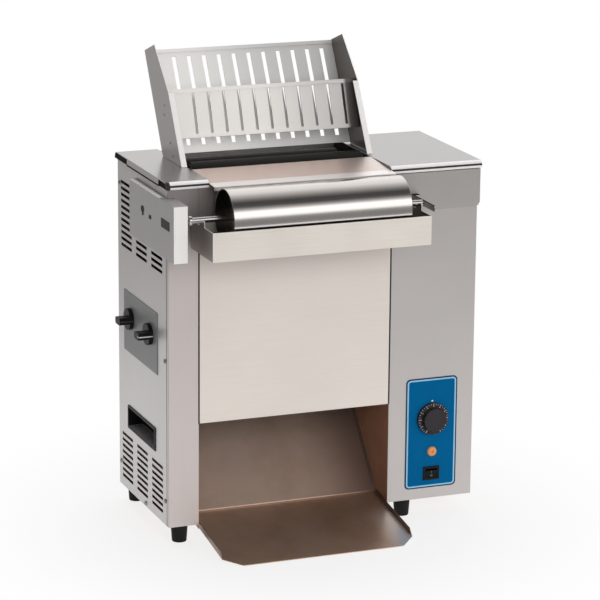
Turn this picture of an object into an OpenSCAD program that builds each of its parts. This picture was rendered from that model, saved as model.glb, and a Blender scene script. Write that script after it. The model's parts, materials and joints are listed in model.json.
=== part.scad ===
// Vertical bun toaster. Buns drop from the feeder on top into two gaps between a hot
// upright platen and two belt conveyors, and slide out of the front onto a landing tray.
// A butter roller turns in a pan across the front. All sizes are in millimetres.
// The modules work in the cabinet's own frame: x from the left side panel to the right,
// y from the front plane to the back, z up from the underside of the base.

/* [Cabinet] */
// Width over the side panels
cab_w = 550; // [535:1:600]
// Depth from the front plane to the back panel
cab_d = 264; // [258:1:300]
// Height from the base to the top of the covers
cab_h = 588; // [582:1:640]
// Thickness of the steel sheet
sheet_t = 1.5; // [1:0.1:2]
// Width of the left front post
post_w = 53; // [48:1:58]
// Width of the chamber between its inner walls
chamber_w = 341; // [325:1:350]
// How far the post's bent edges reach back
post_return = 34; // [24:1:45]
// Height of a rubber foot
foot_h = 30; // [25:1:40]
// Radius of a foot at its top
foot_r = 14.5; // [12:0.5:16]
// Distance of the feet from the left side panel
foot_inset_x = 24; // [20:1:30]
// Distance of the feet from the front and the back
foot_inset_y = 17; // [17:0.5:25]
// Distance between the left and the right feet
foot_span = 404; // [360:1:440]

/* [Covers] */
// Height of the turned-down lip of a top cover
lid_lip = 12; // [7:0.5:15]
// How far the left cover stands past the cabinet
lid_over = 4; // [3:0.5:6]
// How far the right cover stands past the cabinet
lid_over_right = 5; // [4.5:0.5:7]
// Gap between the left cover and the conveyor rollers
lid_clear_left = 3; // [2:0.5:5]
// Gap between the right cover and the conveyor rollers
lid_clear_right = 10; // [6:0.5:12]
// Length of the deeper tab on the left cover's side
lid_tab_len = 166; // [120:1:200]
// Distance of that tab from the front plane
lid_tab_y = 36; // [20:1:50]
// Depth of that tab
lid_tab_h = 13; // [11:0.5:18]
// Height of the deep band below the right cover
band_h = 64.5; // [50:0.5:80]
// How far the deep band stands in front of the panel
band_step = 5; // [4:0.5:8]
// How far the deep band stands out of the right side
band_side = 3; // [2.5:0.5:4]
// Chamfer of the deep band's lower corner
band_chamfer = 6; // [3:0.5:10]
// Reveal between a cover's lip and the sheet below it
lid_reveal = 1.6; // [1:0.2:3]
// Distance of the centre plate's back edge from the front plane
centre_back = 84; // [76:1:86]
// Gap between the centre plate's lip and the butter roller
centre_clear = 1.5; // [1:0.25:3]
// Depth of the centre plate's lips
centre_lip = 7; // [5:0.5:9]
// Fall of the centre plate from back to front
centre_drop = 6.5; // [4:0.5:8]
// Height of the front cover's lower edge
cover_z0 = 176; // [150:1:200]
// Gap between the front cover and the shelf above it
cover_drop = 3.5; // [2:0.5:8]
// Depth of the front cover's bent edges
cover_return = 14; // [10:1:20]
// Gap round the front cover
cover_gap = 0.8; // [0.3:0.1:0.9]

/* [Left side] */
// Width of a vent slot
vent_w = 56; // [50:1:60]
// Height of a vent slot
vent_h = 5; // [3:0.5:6]
// Distance between vent rows
vent_pitch = 10.85; // [10:0.05:12]
// Distance between vent columns
vent_column_pitch = 80; // [76:1:84]
// Distance of the first vent column from the front plane
vent_y = 30; // [28:1:34]
// Height of the lowest row of the lower vents
vent_low_z = 17; // [14:1:20]
// Rows of the lower vents
vent_low_rows = 8; // [4:1:8]
// Height of the lowest row of the upper vents
vent_high_z = 429; // [420:1:440]
// Rows of the upper vents
vent_high_rows = 11; // [6:1:12]
// Length of a handle pocket's mouth
pocket_w = 138; // [120:1:150]
// Height of a handle pocket's mouth
pocket_h = 33; // [28:1:34]
// Depth of a handle pocket
pocket_depth = 26; // [22:1:30]
// Wall of a handle pocket
pocket_t = 2; // [1.5:0.5:2.5]
// Width of a handle pocket's rim
pocket_rim = 2; // [1:0.5:5]
// Distance of a pocket's middle from the front plane
pocket_y = 139.5; // [130:0.5:145]
// Height of a pocket's middle
pocket_z = 134.5; // [132:0.5:137]
// Length of the plate behind the knobs
knob_plate_w = 177; // [165:1:190]
// Height of the plate behind the knobs
knob_plate_h = 106; // [80:1:110]
// Thickness of the plate behind the knobs
knob_plate_t = 1.2; // [1:0.1:1.5]
// Height of the knob axes
knob_z = 312; // [306:1:318]
// Distance of the plate's middle below the knob axes
knob_plate_drop = 9; // [0:1:14]
// Radius of a knob's skirt
knob_r = 18.5; // [15:0.5:20]
// Length of a knob
knob_len = 25.5; // [22:0.5:30]
// Thickness of a knob's skirt
knob_skirt = 7; // [5:0.5:9]
// Width of a knob's grip bar
knob_grip_w = 12; // [10:0.5:15]
// Radius of a knob's spindle
spindle_r = 4; // [3.5:0.25:5]

/* [Controls] */
// Width of the control overlay
overlay_w = 94.5; // [85:0.5:100]
// Height of the control overlay
overlay_h = 196; // [180:1:210]
// Distance of the overlay from the chamber wall
overlay_inset = 32; // [24:1:40]
// Height of the overlay's lower edge
overlay_z = 19; // [15:1:25]
// Thickness of the overlay
overlay_t = 0.8; // [0.5:0.1:1]
// Radius of the overlay's corners
overlay_corner = 7; // [4:0.5:10]
// Distance of the control axes from the overlay's left edge
control_x = 48.5; // [44:0.5:52]
// Height of the dial's axis
dial_z = 143; // [138:1:150]
// Radius of the dial
dial_r = 28; // [24:0.5:30]
// Length of the dial
dial_len = 16; // [13:0.5:20]
// Radius of the dial's stem
stem_r = 3; // [2.5:0.25:4]
// Height of the pilot lamp
lamp_z = 84; // [80:1:90]
// Radius of the pilot lamp
lamp_r = 8.7; // [7:0.1:10]
// Width of the rocker switch
switch_w = 29.5; // [26:0.5:32]
// Height of the rocker switch
switch_h = 24; // [21:0.5:26]
// Height of the switch's middle
switch_z = 45; // [42:0.5:48]
// Rim of the switch housing
switch_rim = 2.5; // [2:0.25:3]
// Tilt of the rocker at rest
rocker_tilt = 8; // [5:0.5:10]

/* [Conveyors] */
// Outer radius of a belt at its rollers
belt_r = 22; // [20:0.5:23]
// Thickness of a belt
belt_t = 2; // [1.5:0.25:3]
// Distance of the front belt's middle from the front plane
front_belt_y = 108; // [106:1:112]
// Distance between the two belts' middles
belt_pitch = 110; // [104:1:112]
// Height of the drive rollers' axes
drive_z = 270; // [262:1:276]
// Distance of the front top roller's axis below the covers
front_top_drop = 15; // [14:1:24]
// Distance of the rear top roller's axis below the covers
rear_top_drop = 32; // [28:1:40]
// Radius of a drive roller's shaft
shaft_r = 6; // [5:0.25:7]
// Radius of a top roller's axle
axle_r = 5; // [4:0.25:5.5]
// Thickness of a conveyor's side plate
frame_t = 3; // [2:0.5:4]
// Room for the cams between the chamber wall and a side plate
cam_room = 9; // [8:0.5:10]
// Gap between a side plate and the right chamber wall
frame_gap = 3; // [2:0.5:5]
// Gap between a side plate and a roller's end
roller_gap = 8; // [7.5:0.5:10]
// Radius of a side plate's lower end
frame_low_r = 17; // [14:0.5:18]
// Radius of a side plate's upper end
frame_high_r = 8; // [7:0.25:9]
// Radius of the tie bars in a conveyor
tie_r = 5; // [4:0.5:6]
// Base radius of a cam
cam_r = 8; // [6.5:0.25:9]
// Thickness of a cam
cam_t = 4; // [3:0.5:5]
// Turn of a knob from stop to stop in degrees
knob_turn = 120; // [60:5:180]
// Tilt of a conveyor over that turn in degrees
belt_tilt = 1.2; // [0.6:0.1:1.4]
// Radius of a cam follower pin
follower_r = 4; // [3:0.5:5]

/* [Platen] */
// Thickness of the platen
platen_t = 20; // [16:0.5:22]
// Height of the platen's lower edge
platen_z0 = 288; // [280:1:300]
// Distance of the platen's upper edge below the covers
platen_drop = 22; // [18:1:40]
// Gap between the platen and the chamber walls
platen_gap = 7; // [5:0.5:10]
// Radius of a heating element
element_r = 4; // [3:0.25:5]
// Number of heating elements
element_count = 3; // [2:1:5]
// Size of a platen standoff
standoff = 16; // [10:1:20]

/* [Drive] */
// Teeth of each of the four gears in a row
gear_teeth = 18; // [16:2:24]
// Teeth of the motor pinion
pinion_teeth = 16; // [14:2:20]
// Width of the gears
gear_w = 10; // [8:0.5:12]
// Radius of a shaft bearing
bearing_r = 10; // [9:0.5:12]
// Radius of a bearing's flange
bearing_flange_r = 14; // [13:0.5:16]
// Length of the gearbox
gearbox_len = 34; // [28:1:40]
// Width of the gearbox
gearbox_w = 64; // [60:1:76]
// Radius of the motor
motor_r = 31; // [26:1:32]
// Length of the motor
motor_len = 74; // [60:1:80]
// Side of the cooling fan
fan_side = 80; // [60:1:90]
// Depth of the cooling fan
fan_depth = 25; // [20:1:30]
// Number of fan blades
fan_blades = 7; // [5:1:9]
// Radius of the cord's way through its gland
gland_bore_r = 5.5; // [4:0.5:7]

/* [Discharge] */
// How far the landing tray reaches in front of the cabinet
tray_reach = 141; // [120:1:160]
// Cut of the tray's front corners
tray_cut = 28; // [15:1:40]
// Slope of the tray in degrees
tray_slope = 9; // [8:0.5:10]
// Height of the tray's side edges at their front
tray_edge = 11; // [9:1:15]
// Height of the tray's side edges at their back
tray_edge_back = 7; // [5:1:9]
// Gap between the tray's front and the counter
tray_gap = 0.8; // [0.5:0.1:1.5]
// Gap between the tray and the chamber walls
tray_side_gap = 0.6; // [0.3:0.1:0.8]
// Distance of the ramp's foot from the front plane
ramp_y = 54; // [50:1:60]
// Slope of the ramp in degrees
ramp_slope = 47.5; // [45:0.5:50]
// Height of the ramp's bent-up side edges
ramp_edge = 12; // [8:0.5:16]

/* [Feeder] */
// Width of the feeder over its side plates
feeder_w = 342; // [330:1:344]
// Distance of the feeder's left plate from the chamber wall
feeder_inset = 6; // [4:0.5:9]
// Distance of the feeder's front foot from the front plane
feeder_front = 103; // [100:1:108]
// Distance of the feeder's back foot from the front plane
feeder_back = 200; // [196:1:206]
// Lean of the feeder's back plate in degrees
feeder_lean = 30; // [24:1:34]
// Length of the feeder's back plate
feeder_len = 190; // [170:1:210]
// Distance of the bend in the side plates behind the front foot
feeder_bend_y = 68; // [60:1:72]
// Height of the bend in the side plates above their foot
feeder_bend_z = 114; // [104:1:120]
// Width of the feeder's top end
feeder_top_w = 51; // [45:1:56]
// Rise of the feeder's top end
feeder_top_rise = 18; // [12:1:24]
// Width of the side plates' bent front edges
feeder_flange = 10; // [8:0.5:12]
// Distance between the back plate's slots
slot_pitch = 27; // [24:0.5:32]
// Width of the back plate's slots
slot_w = 7; // [5:0.5:10]
// Plain edge round the back plate's slots
slot_margin = 14; // [10:1:20]
// How far the slots stand to the right of the plates' middle
slot_shift = 13; // [0:0.5:16]
// Height of the hem along the back plate's and the divider's edges
plate_hem = 6.5; // [4:0.5:7]
// Lean of the divider in degrees
divider_lean = 20; // [16:1:24]
// Height of the divider from edge to edge
divider_len = 84; // [70:1:96]
// Height of the divider's lower edge above the covers
divider_rise = 35; // [30:1:42]
// Distance of the divider's lower edge from the front plane
divider_y = 163; // [158:1:166]
// Width of the divider's slots
divider_slot_w = 4.6; // [3:0.2:6]

/* [Butter roller] */
// Length of the butter pan
pan_w = 380; // [370:1:382]
// Distance of the pan's left end from the left side panel
pan_x = 37.5; // [34:0.5:40]
// Depth of the butter pan from front to back
pan_d = 106; // [104:1:114]
// Height of the butter pan
pan_h = 48.5; // [42:0.5:50]
// Distance of the pan's underside below the covers
pan_drop = 110.5; // [106:0.5:114]
// Gap between the pan and the deep band behind it
pan_gap = 1; // [0.5:0.25:3]
// Radius of the butter roller
roller_out_r = 48; // [44:0.5:48.5]
// Wall of the butter roller
roller_wall = 2; // [1.5:0.25:3]
// Gap between the roller and the pan's floor
roller_clear = 10; // [8:0.5:12]
// Length of the butter roller
roller_len = 309; // [290:1:312]
// Distance of the roller from the pan's left end
roller_inset = 38.5; // [34:0.5:42]
// Depth of the roller's end discs inside the tube
roller_recess = 16; // [10:1:24]
// Radius of the roller's shaft
roller_shaft_r = 5; // [4:0.25:6]
// Gap between the shaft's ends and the brackets
shaft_end_gap = 1.5; // [1:0.25:2.5]
// Width of a saddle under the shaft
saddle_w = 24; // [18:1:30]
// How far the left bracket stands out of the side panel
bracket_out = 12; // [10:0.5:14]
// Width of the left bracket's front
bracket_w = 24; // [20:0.5:24]
// How far the left bracket stands in front of the cabinet
bracket_front = 64; // [58:1:68]
// How far the left bracket reaches back along the side panel
bracket_back = 164; // [140:1:180]
// Distance of the left bracket's upper edge below the covers
bracket_drop = 26; // [20:1:32]
// Height of the left bracket
bracket_h = 94; // [86:1:98]
// Gap between the pan and the right bracket
side_bracket_gap = 7; // [6:0.5:9]
// How far the right bracket stands in front of the cabinet
side_bracket_front = 106; // [90:1:112]
// Height of the right bracket
side_bracket_h = 62; // [50:1:66]
// Height of the right bracket's arm
side_bracket_arm = 9; // [7:0.5:14]
// Size of the gusset below the right bracket's arm
side_bracket_corner = 22; // [12:1:28]

/* [Fits] */
// Radial play of a turning shaft in its bore
shaft_play = 0.05; // [0.02:0.01:0.1]
// Gap between pieces that pass each other
run_gap = 0.3; // [0.2:0.05:0.5]

/* [Hidden] */
$fn = 48;

// Chamber and cabinet
chamber_x0 = post_w;
chamber_x1 = post_w + chamber_w;
panel_top = cab_h - sheet_t;
foot_taper = 0.85;
lid_bend = lid_lip * 0.8;
lip_bottom = cab_h - lid_lip;
bend_room = sqrt((lid_bend - sheet_t) ^ 2 - (lid_bend - lid_over) ^ 2);
rim_top = cab_h - lid_bend + bend_room - run_gap;
sheet_top = lip_bottom - lid_reveal;
band_z0 = sheet_top - band_h;

// Conveyors
front_top_z = cab_h - front_top_drop;
rear_top_z = cab_h - rear_top_drop;
platen_z1 = cab_h - platen_drop;
rear_belt_y = front_belt_y + belt_pitch;
platen_y = front_belt_y + belt_pitch / 2;
belt_in_r = belt_r - belt_t;
roller_r = belt_in_r - run_gap;
frame_x0 = chamber_x0 + cam_room;
frame_x1 = chamber_x1 - frame_gap;
roller_x0 = frame_x0 + frame_t + roller_gap;
roller_x1 = frame_x1 - frame_t - roller_gap;
belt_edge = 2;
opening_x0 = roller_x0 - lid_clear_left;
opening_x1 = roller_x1 + lid_clear_right;
cam_side = (cam_room - cam_t) / 2;
cam_x0 = chamber_x0 + cam_side;
cam_rise = (knob_z - drive_z) * sin(belt_tilt);
cam_reach = cam_r + run_gap + follower_r;
front_follower_in = 4;
front_follower_y = front_belt_y - front_follower_in;
rear_follower_in = 12;
rear_follower_y = rear_belt_y - rear_follower_in;
front_knob_y = front_follower_y - cam_reach;
rear_knob_y = rear_follower_y - cam_reach;
knob_plate_y = (front_knob_y + rear_knob_y) / 2;
knob_plate_z = knob_z - knob_plate_drop;
knob_x = -knob_plate_t - run_gap;
knob_tip = knob_x - knob_len;
knob_bore_x = knob_x - (knob_len + knob_skirt) / 2;

// Drive
gear_r = belt_pitch / 6;
gear_m = 2 * gear_r / gear_teeth;
pinion_r = pinion_teeth * gear_m / 2;
pinion_z = drive_z - gear_r - pinion_r;
bearing_flange_t = 3;
gear_gap = 3;
wall_right = chamber_x1 + sheet_t;
gear_x0 = wall_right + bearing_flange_t + gear_gap;
gear_x1 = gear_x0 + gear_w;
drive_shaft_end = gear_x1 + gear_gap;
gearbox_x0 = gear_x1 + 2 * gear_gap;
gearbox_low = 60;
gearbox_high = 14;
gearbox_z0 = pinion_z - gearbox_low;
gearbox_z1 = pinion_z + gearbox_high;
post_r = 4;
stud_r = 5;

// Controls
control_axis = chamber_x1 + overlay_inset + control_x;
dial_gap = overlay_t + run_gap;
lamp_neck_r = lamp_r * 0.7;
thermostat_depth = 34;
switch_face = 3;
switch_wall = 1.5;
rocker_y = 4;
rocker_pin_r = 1.5;
gland_inset = 60;
gland_x = cab_w - gland_inset;
gland_z = 62;
gland_out = 14;
gland_nut_r = 12;
gland_thread_r = 8;
fan_x = (wall_right + cab_w) / 2;
fan_z = 400;
fan_hub_r = 15;
fan_pin_r = 2;
fan_back = 3;
fan_y1 = cab_d - sheet_t;

// Landing tray and ramp
runner_w = 7;
runner_t = 2;
tray_drop = sheet_t / cos(tray_slope);
tray_front_z = -foot_h + tray_gap + tray_drop;
tray_rise = tan(tray_slope);
function tray_top(y) = tray_front_z + (y + tray_reach) * tray_rise;
ramp_rise = tan(ramp_slope);
ramp_drop = sheet_t / cos(ramp_slope);
ramp_foot = tray_top(ramp_y) + ramp_drop + run_gap;
ramp_shelf = 24;
ramp_top_y = cab_d - ramp_shelf;
ramp_top_z = ramp_foot + (ramp_top_y - ramp_y) * ramp_rise;
tray_tuck = 13;
tray_back = ramp_y + tray_tuck;
web_t = 4;
tray_clear = 3;

// Feeder
feeder_x0 = chamber_x0 + feeder_inset;
feeder_x1 = feeder_x0 + feeder_w;
feeder_z = cab_h + run_gap;
feeder_top_y = feeder_back + feeder_len * sin(feeder_lean);
feeder_top_z = feeder_z + feeder_len * cos(feeder_lean);
flange_lean = atan2(feeder_bend_y, feeder_bend_z);

// Butter roller
pan_z = cab_h - pan_drop;
pan_y1 = -band_step - pan_gap;
pan_y0 = pan_y1 - pan_d;
pan_x1 = pan_x + pan_w;
pan_t = 1.2;
roller_y = (pan_y0 + pan_y1) / 2;
roller_z = pan_z + pan_t + roller_clear + roller_out_r;
tube_x0 = pan_x + roller_inset;
tube_x1 = tube_x0 + roller_len;
shelf_short = 14;
shelf_depth = pan_d - shelf_short;
collar_r = 8;
collar_w = 5;
side_bracket_x = pan_x1 + side_bracket_gap;
bracket_z = cab_h - bracket_drop - bracket_h;
bracket_inner = bracket_w - bracket_out;
shaft_x0 = bracket_inner + shaft_end_gap;
shaft_x1 = side_bracket_x - shaft_end_gap;

// Front of the top: the centre plate stops short of the butter roller
centre_lip_z = cab_h - centre_drop - centre_lip;
lip_reach = sqrt((roller_out_r + centre_clear) ^ 2 - (centre_lip_z - roller_z) ^ 2);
centre_front = -roller_y - lip_reach;
centre_slope = centre_drop / (centre_back + centre_front);
header_top = cab_h - centre_slope * centre_back - sheet_t;
header_z0 = pan_z - run_gap - sheet_t;
cover_z1 = header_z0 - cover_drop;

// Whole object: the origin is below the middle of its box, on the counter
x_low = knob_tip;
x_high = cab_w + lid_over_right;
y_low = -tray_reach;
y_high = feeder_top_y;

steel = [0.76, 0.75, 0.73];
dark_steel = [0.5, 0.48, 0.46];
black = [0.07, 0.07, 0.08];

module placed() translate([-(x_low + x_high) / 2, -(y_low + y_high) / 2, foot_h]) children();

module block(low, high) translate(low) cube(high - low);

// A flat shape drawn in y and z, drawn out along x
module along_x(x0, x1) translate([x0, 0, 0]) rotate([90, 0, 90]) linear_extrude(x1 - x0) children();

// A flat shape drawn in x and z, drawn out along y
module along_y(y0, y1) translate([0, y1, 0]) rotate([90, 0, 0]) linear_extrude(y1 - y0) children();

module rod_x(x0, x1, y, z, r) translate([x0, y, z]) rotate([0, 90, 0]) cylinder(h = x1 - x0, r = r);

module rod_y(y0, y1, x, z, r) translate([x, y1, z]) rotate([90, 0, 0]) cylinder(h = y1 - y0, r = r);

module rounded(w, h, r) {
  translate([r, 0]) square([w - 2 * r, h]);
  translate([0, r]) square([w, h - 2 * r]);
  for (u = [r, w - r], v = [r, h - r]) translate([u, v]) circle(r);
}

// A rectangular ring of wall t with its outer corner at the origin
module ring(w, h, t) difference() {
  square([w, h]);
  translate([t, t]) square([w - 2 * t, h - 2 * t]);
}

module vents(x0, x1) {
  for (column = [0:2], row = [0:vent_low_rows - 1])
    translate([x0, vent_y + column * vent_column_pitch, vent_low_z + row * vent_pitch])
      cube([x1 - x0, vent_w, vent_h]);
  for (column = [0:2], row = [0:vent_high_rows - 1])
    translate([x0, vent_y + column * vent_column_pitch, vent_high_z + row * vent_pitch])
      cube([x1 - x0, vent_w, vent_h]);
}

module pocket_cut(x0, x1) {
  w = pocket_w + 2 * pocket_t + 2 * run_gap;
  h = pocket_h + 2 * pocket_t + 2 * run_gap;
  block([x0, pocket_y - w / 2, pocket_z - h / 2], [x1, pocket_y + w / 2, pocket_z + h / 2]);
}

// Cabinet

module base_pan() color(dark_steel) placed() difference() {
  block([sheet_t, sheet_t, 0], [cab_w - sheet_t, cab_d - sheet_t, sheet_t]);
  block([chamber_x0, 0, -1], [chamber_x1, tray_back + web_t + tray_clear, sheet_t + 1]);
}

module back_panel() {
  grille_rows = 9;
  color(steel) placed() difference() {
    union() {
      block([sheet_t, cab_d - sheet_t, 0], [cab_w - sheet_t, cab_d, rim_top]);
      block([opening_x0, cab_d - 3 * sheet_t, rim_top - sheet_t],
            [opening_x1, cab_d - sheet_t, rim_top]);
    }
    rod_y(cab_d - 2 * sheet_t, cab_d + 1, gland_x, gland_z, gland_thread_r + shaft_play);
    for (row = [0:grille_rows - 1])
      translate([fan_x - fan_side * 0.36, cab_d - 2 * sheet_t,
                 fan_z - fan_side * 0.38 + row * fan_side * 0.09])
        cube([fan_side * 0.72, 3 * sheet_t, fan_side * 0.05]);
  }
}

module left_side_panel() color(steel) placed() difference() {
  block([0, sheet_t, 0], [sheet_t, cab_d, rim_top]);
  vents(-1, sheet_t + 1);
  pocket_cut(-1, sheet_t + 1);
  for (y = [front_knob_y, rear_knob_y])
    rod_x(-1, sheet_t + 1, y, knob_z, spindle_r + run_gap);
}

module right_side_panel() color(steel) placed() difference() {
  block([cab_w - sheet_t, sheet_t, 0], [cab_w, cab_d, rim_top]);
  vents(cab_w - sheet_t - 1, cab_w + 1);
  pocket_cut(cab_w - sheet_t - 1, cab_w + 1);
}

module left_front_post() color(steel) placed() {
  block([0, 0, 0], [post_w, sheet_t, rim_top]);
  block([post_w - sheet_t, 0, sheet_t], [post_w, post_return, rim_top]);
  block([sheet_t, 0, sheet_t], [2 * sheet_t, post_return * 0.6, rim_top]);
}

module right_front_panel() color(steel) placed() difference() {
  block([chamber_x1, 0, 0], [cab_w, sheet_t, rim_top]);
  rod_y(-1, sheet_t + 1, control_axis, dial_z, stem_r + run_gap);
  rod_y(-1, sheet_t + 1, control_axis, lamp_z, lamp_neck_r + run_gap);
  switch_cut(-1, sheet_t + 1);
}

module switch_cut(y0, y1) {
  w = switch_w - 2 * switch_rim + 2 * run_gap;
  h = switch_h - 2 * switch_rim + 2 * run_gap;
  block([control_axis - w / 2, y0, switch_z - h / 2], [control_axis + w / 2, y1, switch_z + h / 2]);
}

module right_band() {
  right = cab_w + band_side;
  color(steel) placed() difference() {
    union() {
      block([chamber_x1, -band_step, band_z0], [right, -band_step + sheet_t, sheet_top]);
      block([chamber_x1, -band_step, band_z0], [chamber_x1 + sheet_t, 0, sheet_top]);
      block([right - sheet_t, -band_step, band_z0], [right, cab_d, sheet_top]);
      block([chamber_x1, -band_step, band_z0], [right, 0, band_z0 + sheet_t]);
      block([cab_w, -band_step, band_z0], [right, cab_d, band_z0 + sheet_t]);
    }
    translate([right, -band_step - 1, band_z0]) rotate([0, 45, 0])
      translate([-band_chamfer / sqrt(2), 0, -band_chamfer])
        cube([band_chamfer * 2, band_step + 1, band_chamfer * 2]);
  }
}

module front_header() color(steel) placed() {
  block([chamber_x0, 0, header_z0], [chamber_x1, sheet_t, header_top]);
  block([chamber_x0, -shelf_depth, header_z0], [chamber_x1, sheet_t, header_z0 + sheet_t]);
}

// The inner walls carry the covers; their top corners stay clear of the covers' bends
module wall_corner(x0, y0, y1) block([x0 - 1, y0, rim_top], [x0 + sheet_t + 1, y1, cab_h]);

module left_inner_wall() color(dark_steel) placed() difference() {
  block([chamber_x0 - sheet_t, post_return, sheet_t], [chamber_x0, cab_d - sheet_t, panel_top]);
  wall_corner(chamber_x0 - sheet_t, cab_d - lid_bend, cab_d);
  for (y = [front_belt_y, rear_belt_y])
    rod_x(chamber_x0 - sheet_t - 1, chamber_x0 + 1, y, drive_z, bearing_r + shaft_play);
  for (y = [front_knob_y, rear_knob_y])
    rod_x(chamber_x0 - sheet_t - 1, chamber_x0 + 1, y, knob_z, spindle_r + shaft_play);
}

// The right wall carries the studs that the idler gears turn on
module right_inner_wall() color(dark_steel) placed() difference() {
  union() {
    block([chamber_x1, sheet_t, sheet_t], [wall_right, cab_d - sheet_t, panel_top]);
    for (i = [1, 2]) rod_x(chamber_x1, gear_x1 + 1, gear_y(i), drive_z, stud_r);
  }
  for (y = [front_belt_y, rear_belt_y])
    rod_x(chamber_x1 - 1, wall_right + 1, y, drive_z, bearing_r + shaft_play);
  for (i = [0:element_count - 1])
    rod_x(chamber_x1 - 1, wall_right + 1, platen_y, element_z(i), element_r + run_gap);
  wall_corner(chamber_x1, 0, lid_bend);
  wall_corner(chamber_x1, cab_d - lid_bend, cab_d);
}

// Outline that is round at its two upper corners
module arch(y0, y1, low, top, r) intersection() {
  translate([y0, low]) square([y1 - y0, top - low]);
  union() {
    translate([y0, low]) square([y1 - y0, top - r - low]);
    translate([y0 + r, low]) square([y1 - y0 - 2 * r, top - low]);
    for (y = [y0 + r, y1 - r]) translate([y, top - r]) circle(r);
  }
}

// A cover is bent down in front and at the back
module bent_cover(x0, x1, front, back) along_x(x0, x1) difference() {
  arch(front, back, lip_bottom, cab_h, lid_bend);
  arch(front + sheet_t, back - sheet_t, lip_bottom - 1, panel_top, lid_bend - sheet_t);
}

module left_top_cover() {
  left = -lid_over;
  back = cab_d + lid_over;
  color(steel) placed() {
    bent_cover(left, opening_x0, -lid_over, back);
    block([left, lid_tab_y, cab_h - lid_tab_h], [left + sheet_t, lid_tab_y + lid_tab_len, cab_h]);
  }
}

module right_top_cover() {
  front = -band_step - sheet_t - run_gap;
  back = cab_d + lid_over;
  color(steel) placed() {
    bent_cover(opening_x1, x_high, front, back);
    along_x(x_high - sheet_t, x_high) arch(front, back, lip_bottom, cab_h, lid_bend);
  }
}

module centre_top_plate() {
  front_z = cab_h - centre_drop;
  color(steel) placed() along_x(opening_x0 + run_gap, opening_x1 - run_gap) polygon([
    [centre_back, cab_h], [-centre_front, front_z], [-centre_front, front_z - centre_lip],
    [-centre_front + sheet_t, front_z - centre_lip],
    [-centre_front + sheet_t, front_z + sheet_t * centre_slope - sheet_t],
    [centre_back - sheet_t, cab_h - sheet_t - sheet_t * centre_slope],
    [centre_back - sheet_t, cab_h - centre_lip], [centre_back, cab_h - centre_lip]
  ]);
}

module discharge_chute() color(dark_steel) placed() {
  back = cab_d - sheet_t;
  edge = ramp_edge / cos(ramp_slope);
  along_x(chamber_x0, chamber_x1) polygon([
    [ramp_y, ramp_foot], [ramp_top_y, ramp_top_z], [back, ramp_top_z],
    [back, ramp_top_z - sheet_t], [ramp_top_y + sheet_t, ramp_top_z - sheet_t],
    [ramp_top_y + sheet_t, ramp_top_z - ramp_drop], [ramp_top_y, ramp_top_z - ramp_drop],
    [ramp_y, ramp_foot - ramp_drop]
  ]);
  for (x = [chamber_x0, chamber_x1 - sheet_t]) along_x(x, x + sheet_t) polygon([
    [ramp_y, ramp_foot - ramp_drop / 2], [ramp_top_y, ramp_top_z - ramp_drop / 2],
    [ramp_top_y, ramp_top_z + edge], [ramp_y + ramp_edge, ramp_foot + ramp_edge * ramp_rise + edge]
  ]);
  for (x = [chamber_x0, chamber_x1 - runner_w]) along_x(x, x + runner_w) polygon([
    [2 * sheet_t, runner_top(2 * sheet_t)], [tray_back + run_gap, runner_top(tray_back + run_gap)],
    [tray_back + run_gap, ramp_under(tray_back + run_gap) + ramp_drop / 2],
    [tray_back + web_t, ramp_under(tray_back + web_t) + ramp_drop / 2],
    [tray_back + web_t, runner_top(tray_back) - runner_t],
    [2 * sheet_t, runner_top(2 * sheet_t) - runner_t]
  ]);
}

function runner_top(y) = tray_top(y) - tray_drop - run_gap;
function ramp_under(y) = ramp_foot - ramp_drop + (y - ramp_y) * ramp_rise;

module feet() color(black) placed()
  for (x = [foot_inset_x, foot_inset_x + foot_span], y = [foot_inset_y, cab_d - foot_inset_y])
    translate([x, y, -foot_h]) cylinder(h = foot_h, r1 = foot_r * foot_taper, r2 = foot_r);

// Screw heads on the side panels and the back panel
module panel_screws() {
  head_r = 4;
  head_h = 2;
  edge = 10;
  low_screw = 42;
  middle_screw = 284;
  top_screw_drop = 52;
  heights = [low_screw, middle_screw, cab_h - top_screw_drop];
  color(steel) placed() {
    for (z = heights, y = [post_return * 0.5, cab_d - edge])
      if (y < cab_d / 2 || z != heights[1]) {
        rod_x(-head_h, 0, y, z, head_r);
        if (z < band_z0 - head_r) rod_x(cab_w, cab_w + head_h, y, z, head_r);
      }
    for (x = [edge * 2, cab_w - edge * 2], z = heights)
      rod_y(cab_d, cab_d + head_h, x, z, head_r);
  }
}

module knob_plate() color(dark_steel) placed() difference() {
  block([-knob_plate_t, knob_plate_y - knob_plate_w / 2, knob_plate_z - knob_plate_h / 2],
        [0, knob_plate_y + knob_plate_w / 2, knob_plate_z + knob_plate_h / 2]);
  for (y = [front_knob_y, rear_knob_y])
    rod_x(-knob_plate_t - 1, 1, y, knob_z, spindle_r + run_gap);
}

module pocket() {
  w = pocket_w + 2 * pocket_t;
  h = pocket_h + 2 * pocket_t;
  rim_out = 2;
  translate([0, pocket_y, pocket_z]) {
    along_x(-rim_out, 0) translate([-w / 2 - pocket_rim, -h / 2 - pocket_rim])
      ring(w + 2 * pocket_rim, h + 2 * pocket_rim, pocket_rim + pocket_t);
    along_x(-rim_out, pocket_depth) translate([-w / 2, -h / 2]) ring(w, h, pocket_t);
    along_x(pocket_depth - pocket_t, pocket_depth) translate([-w / 2, -h / 2]) square([w, h]);
  }
}

module handle_pockets() color(black) placed() {
  pocket();
  translate([cab_w, 0, 0]) mirror([1, 0, 0]) pocket();
}

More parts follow.
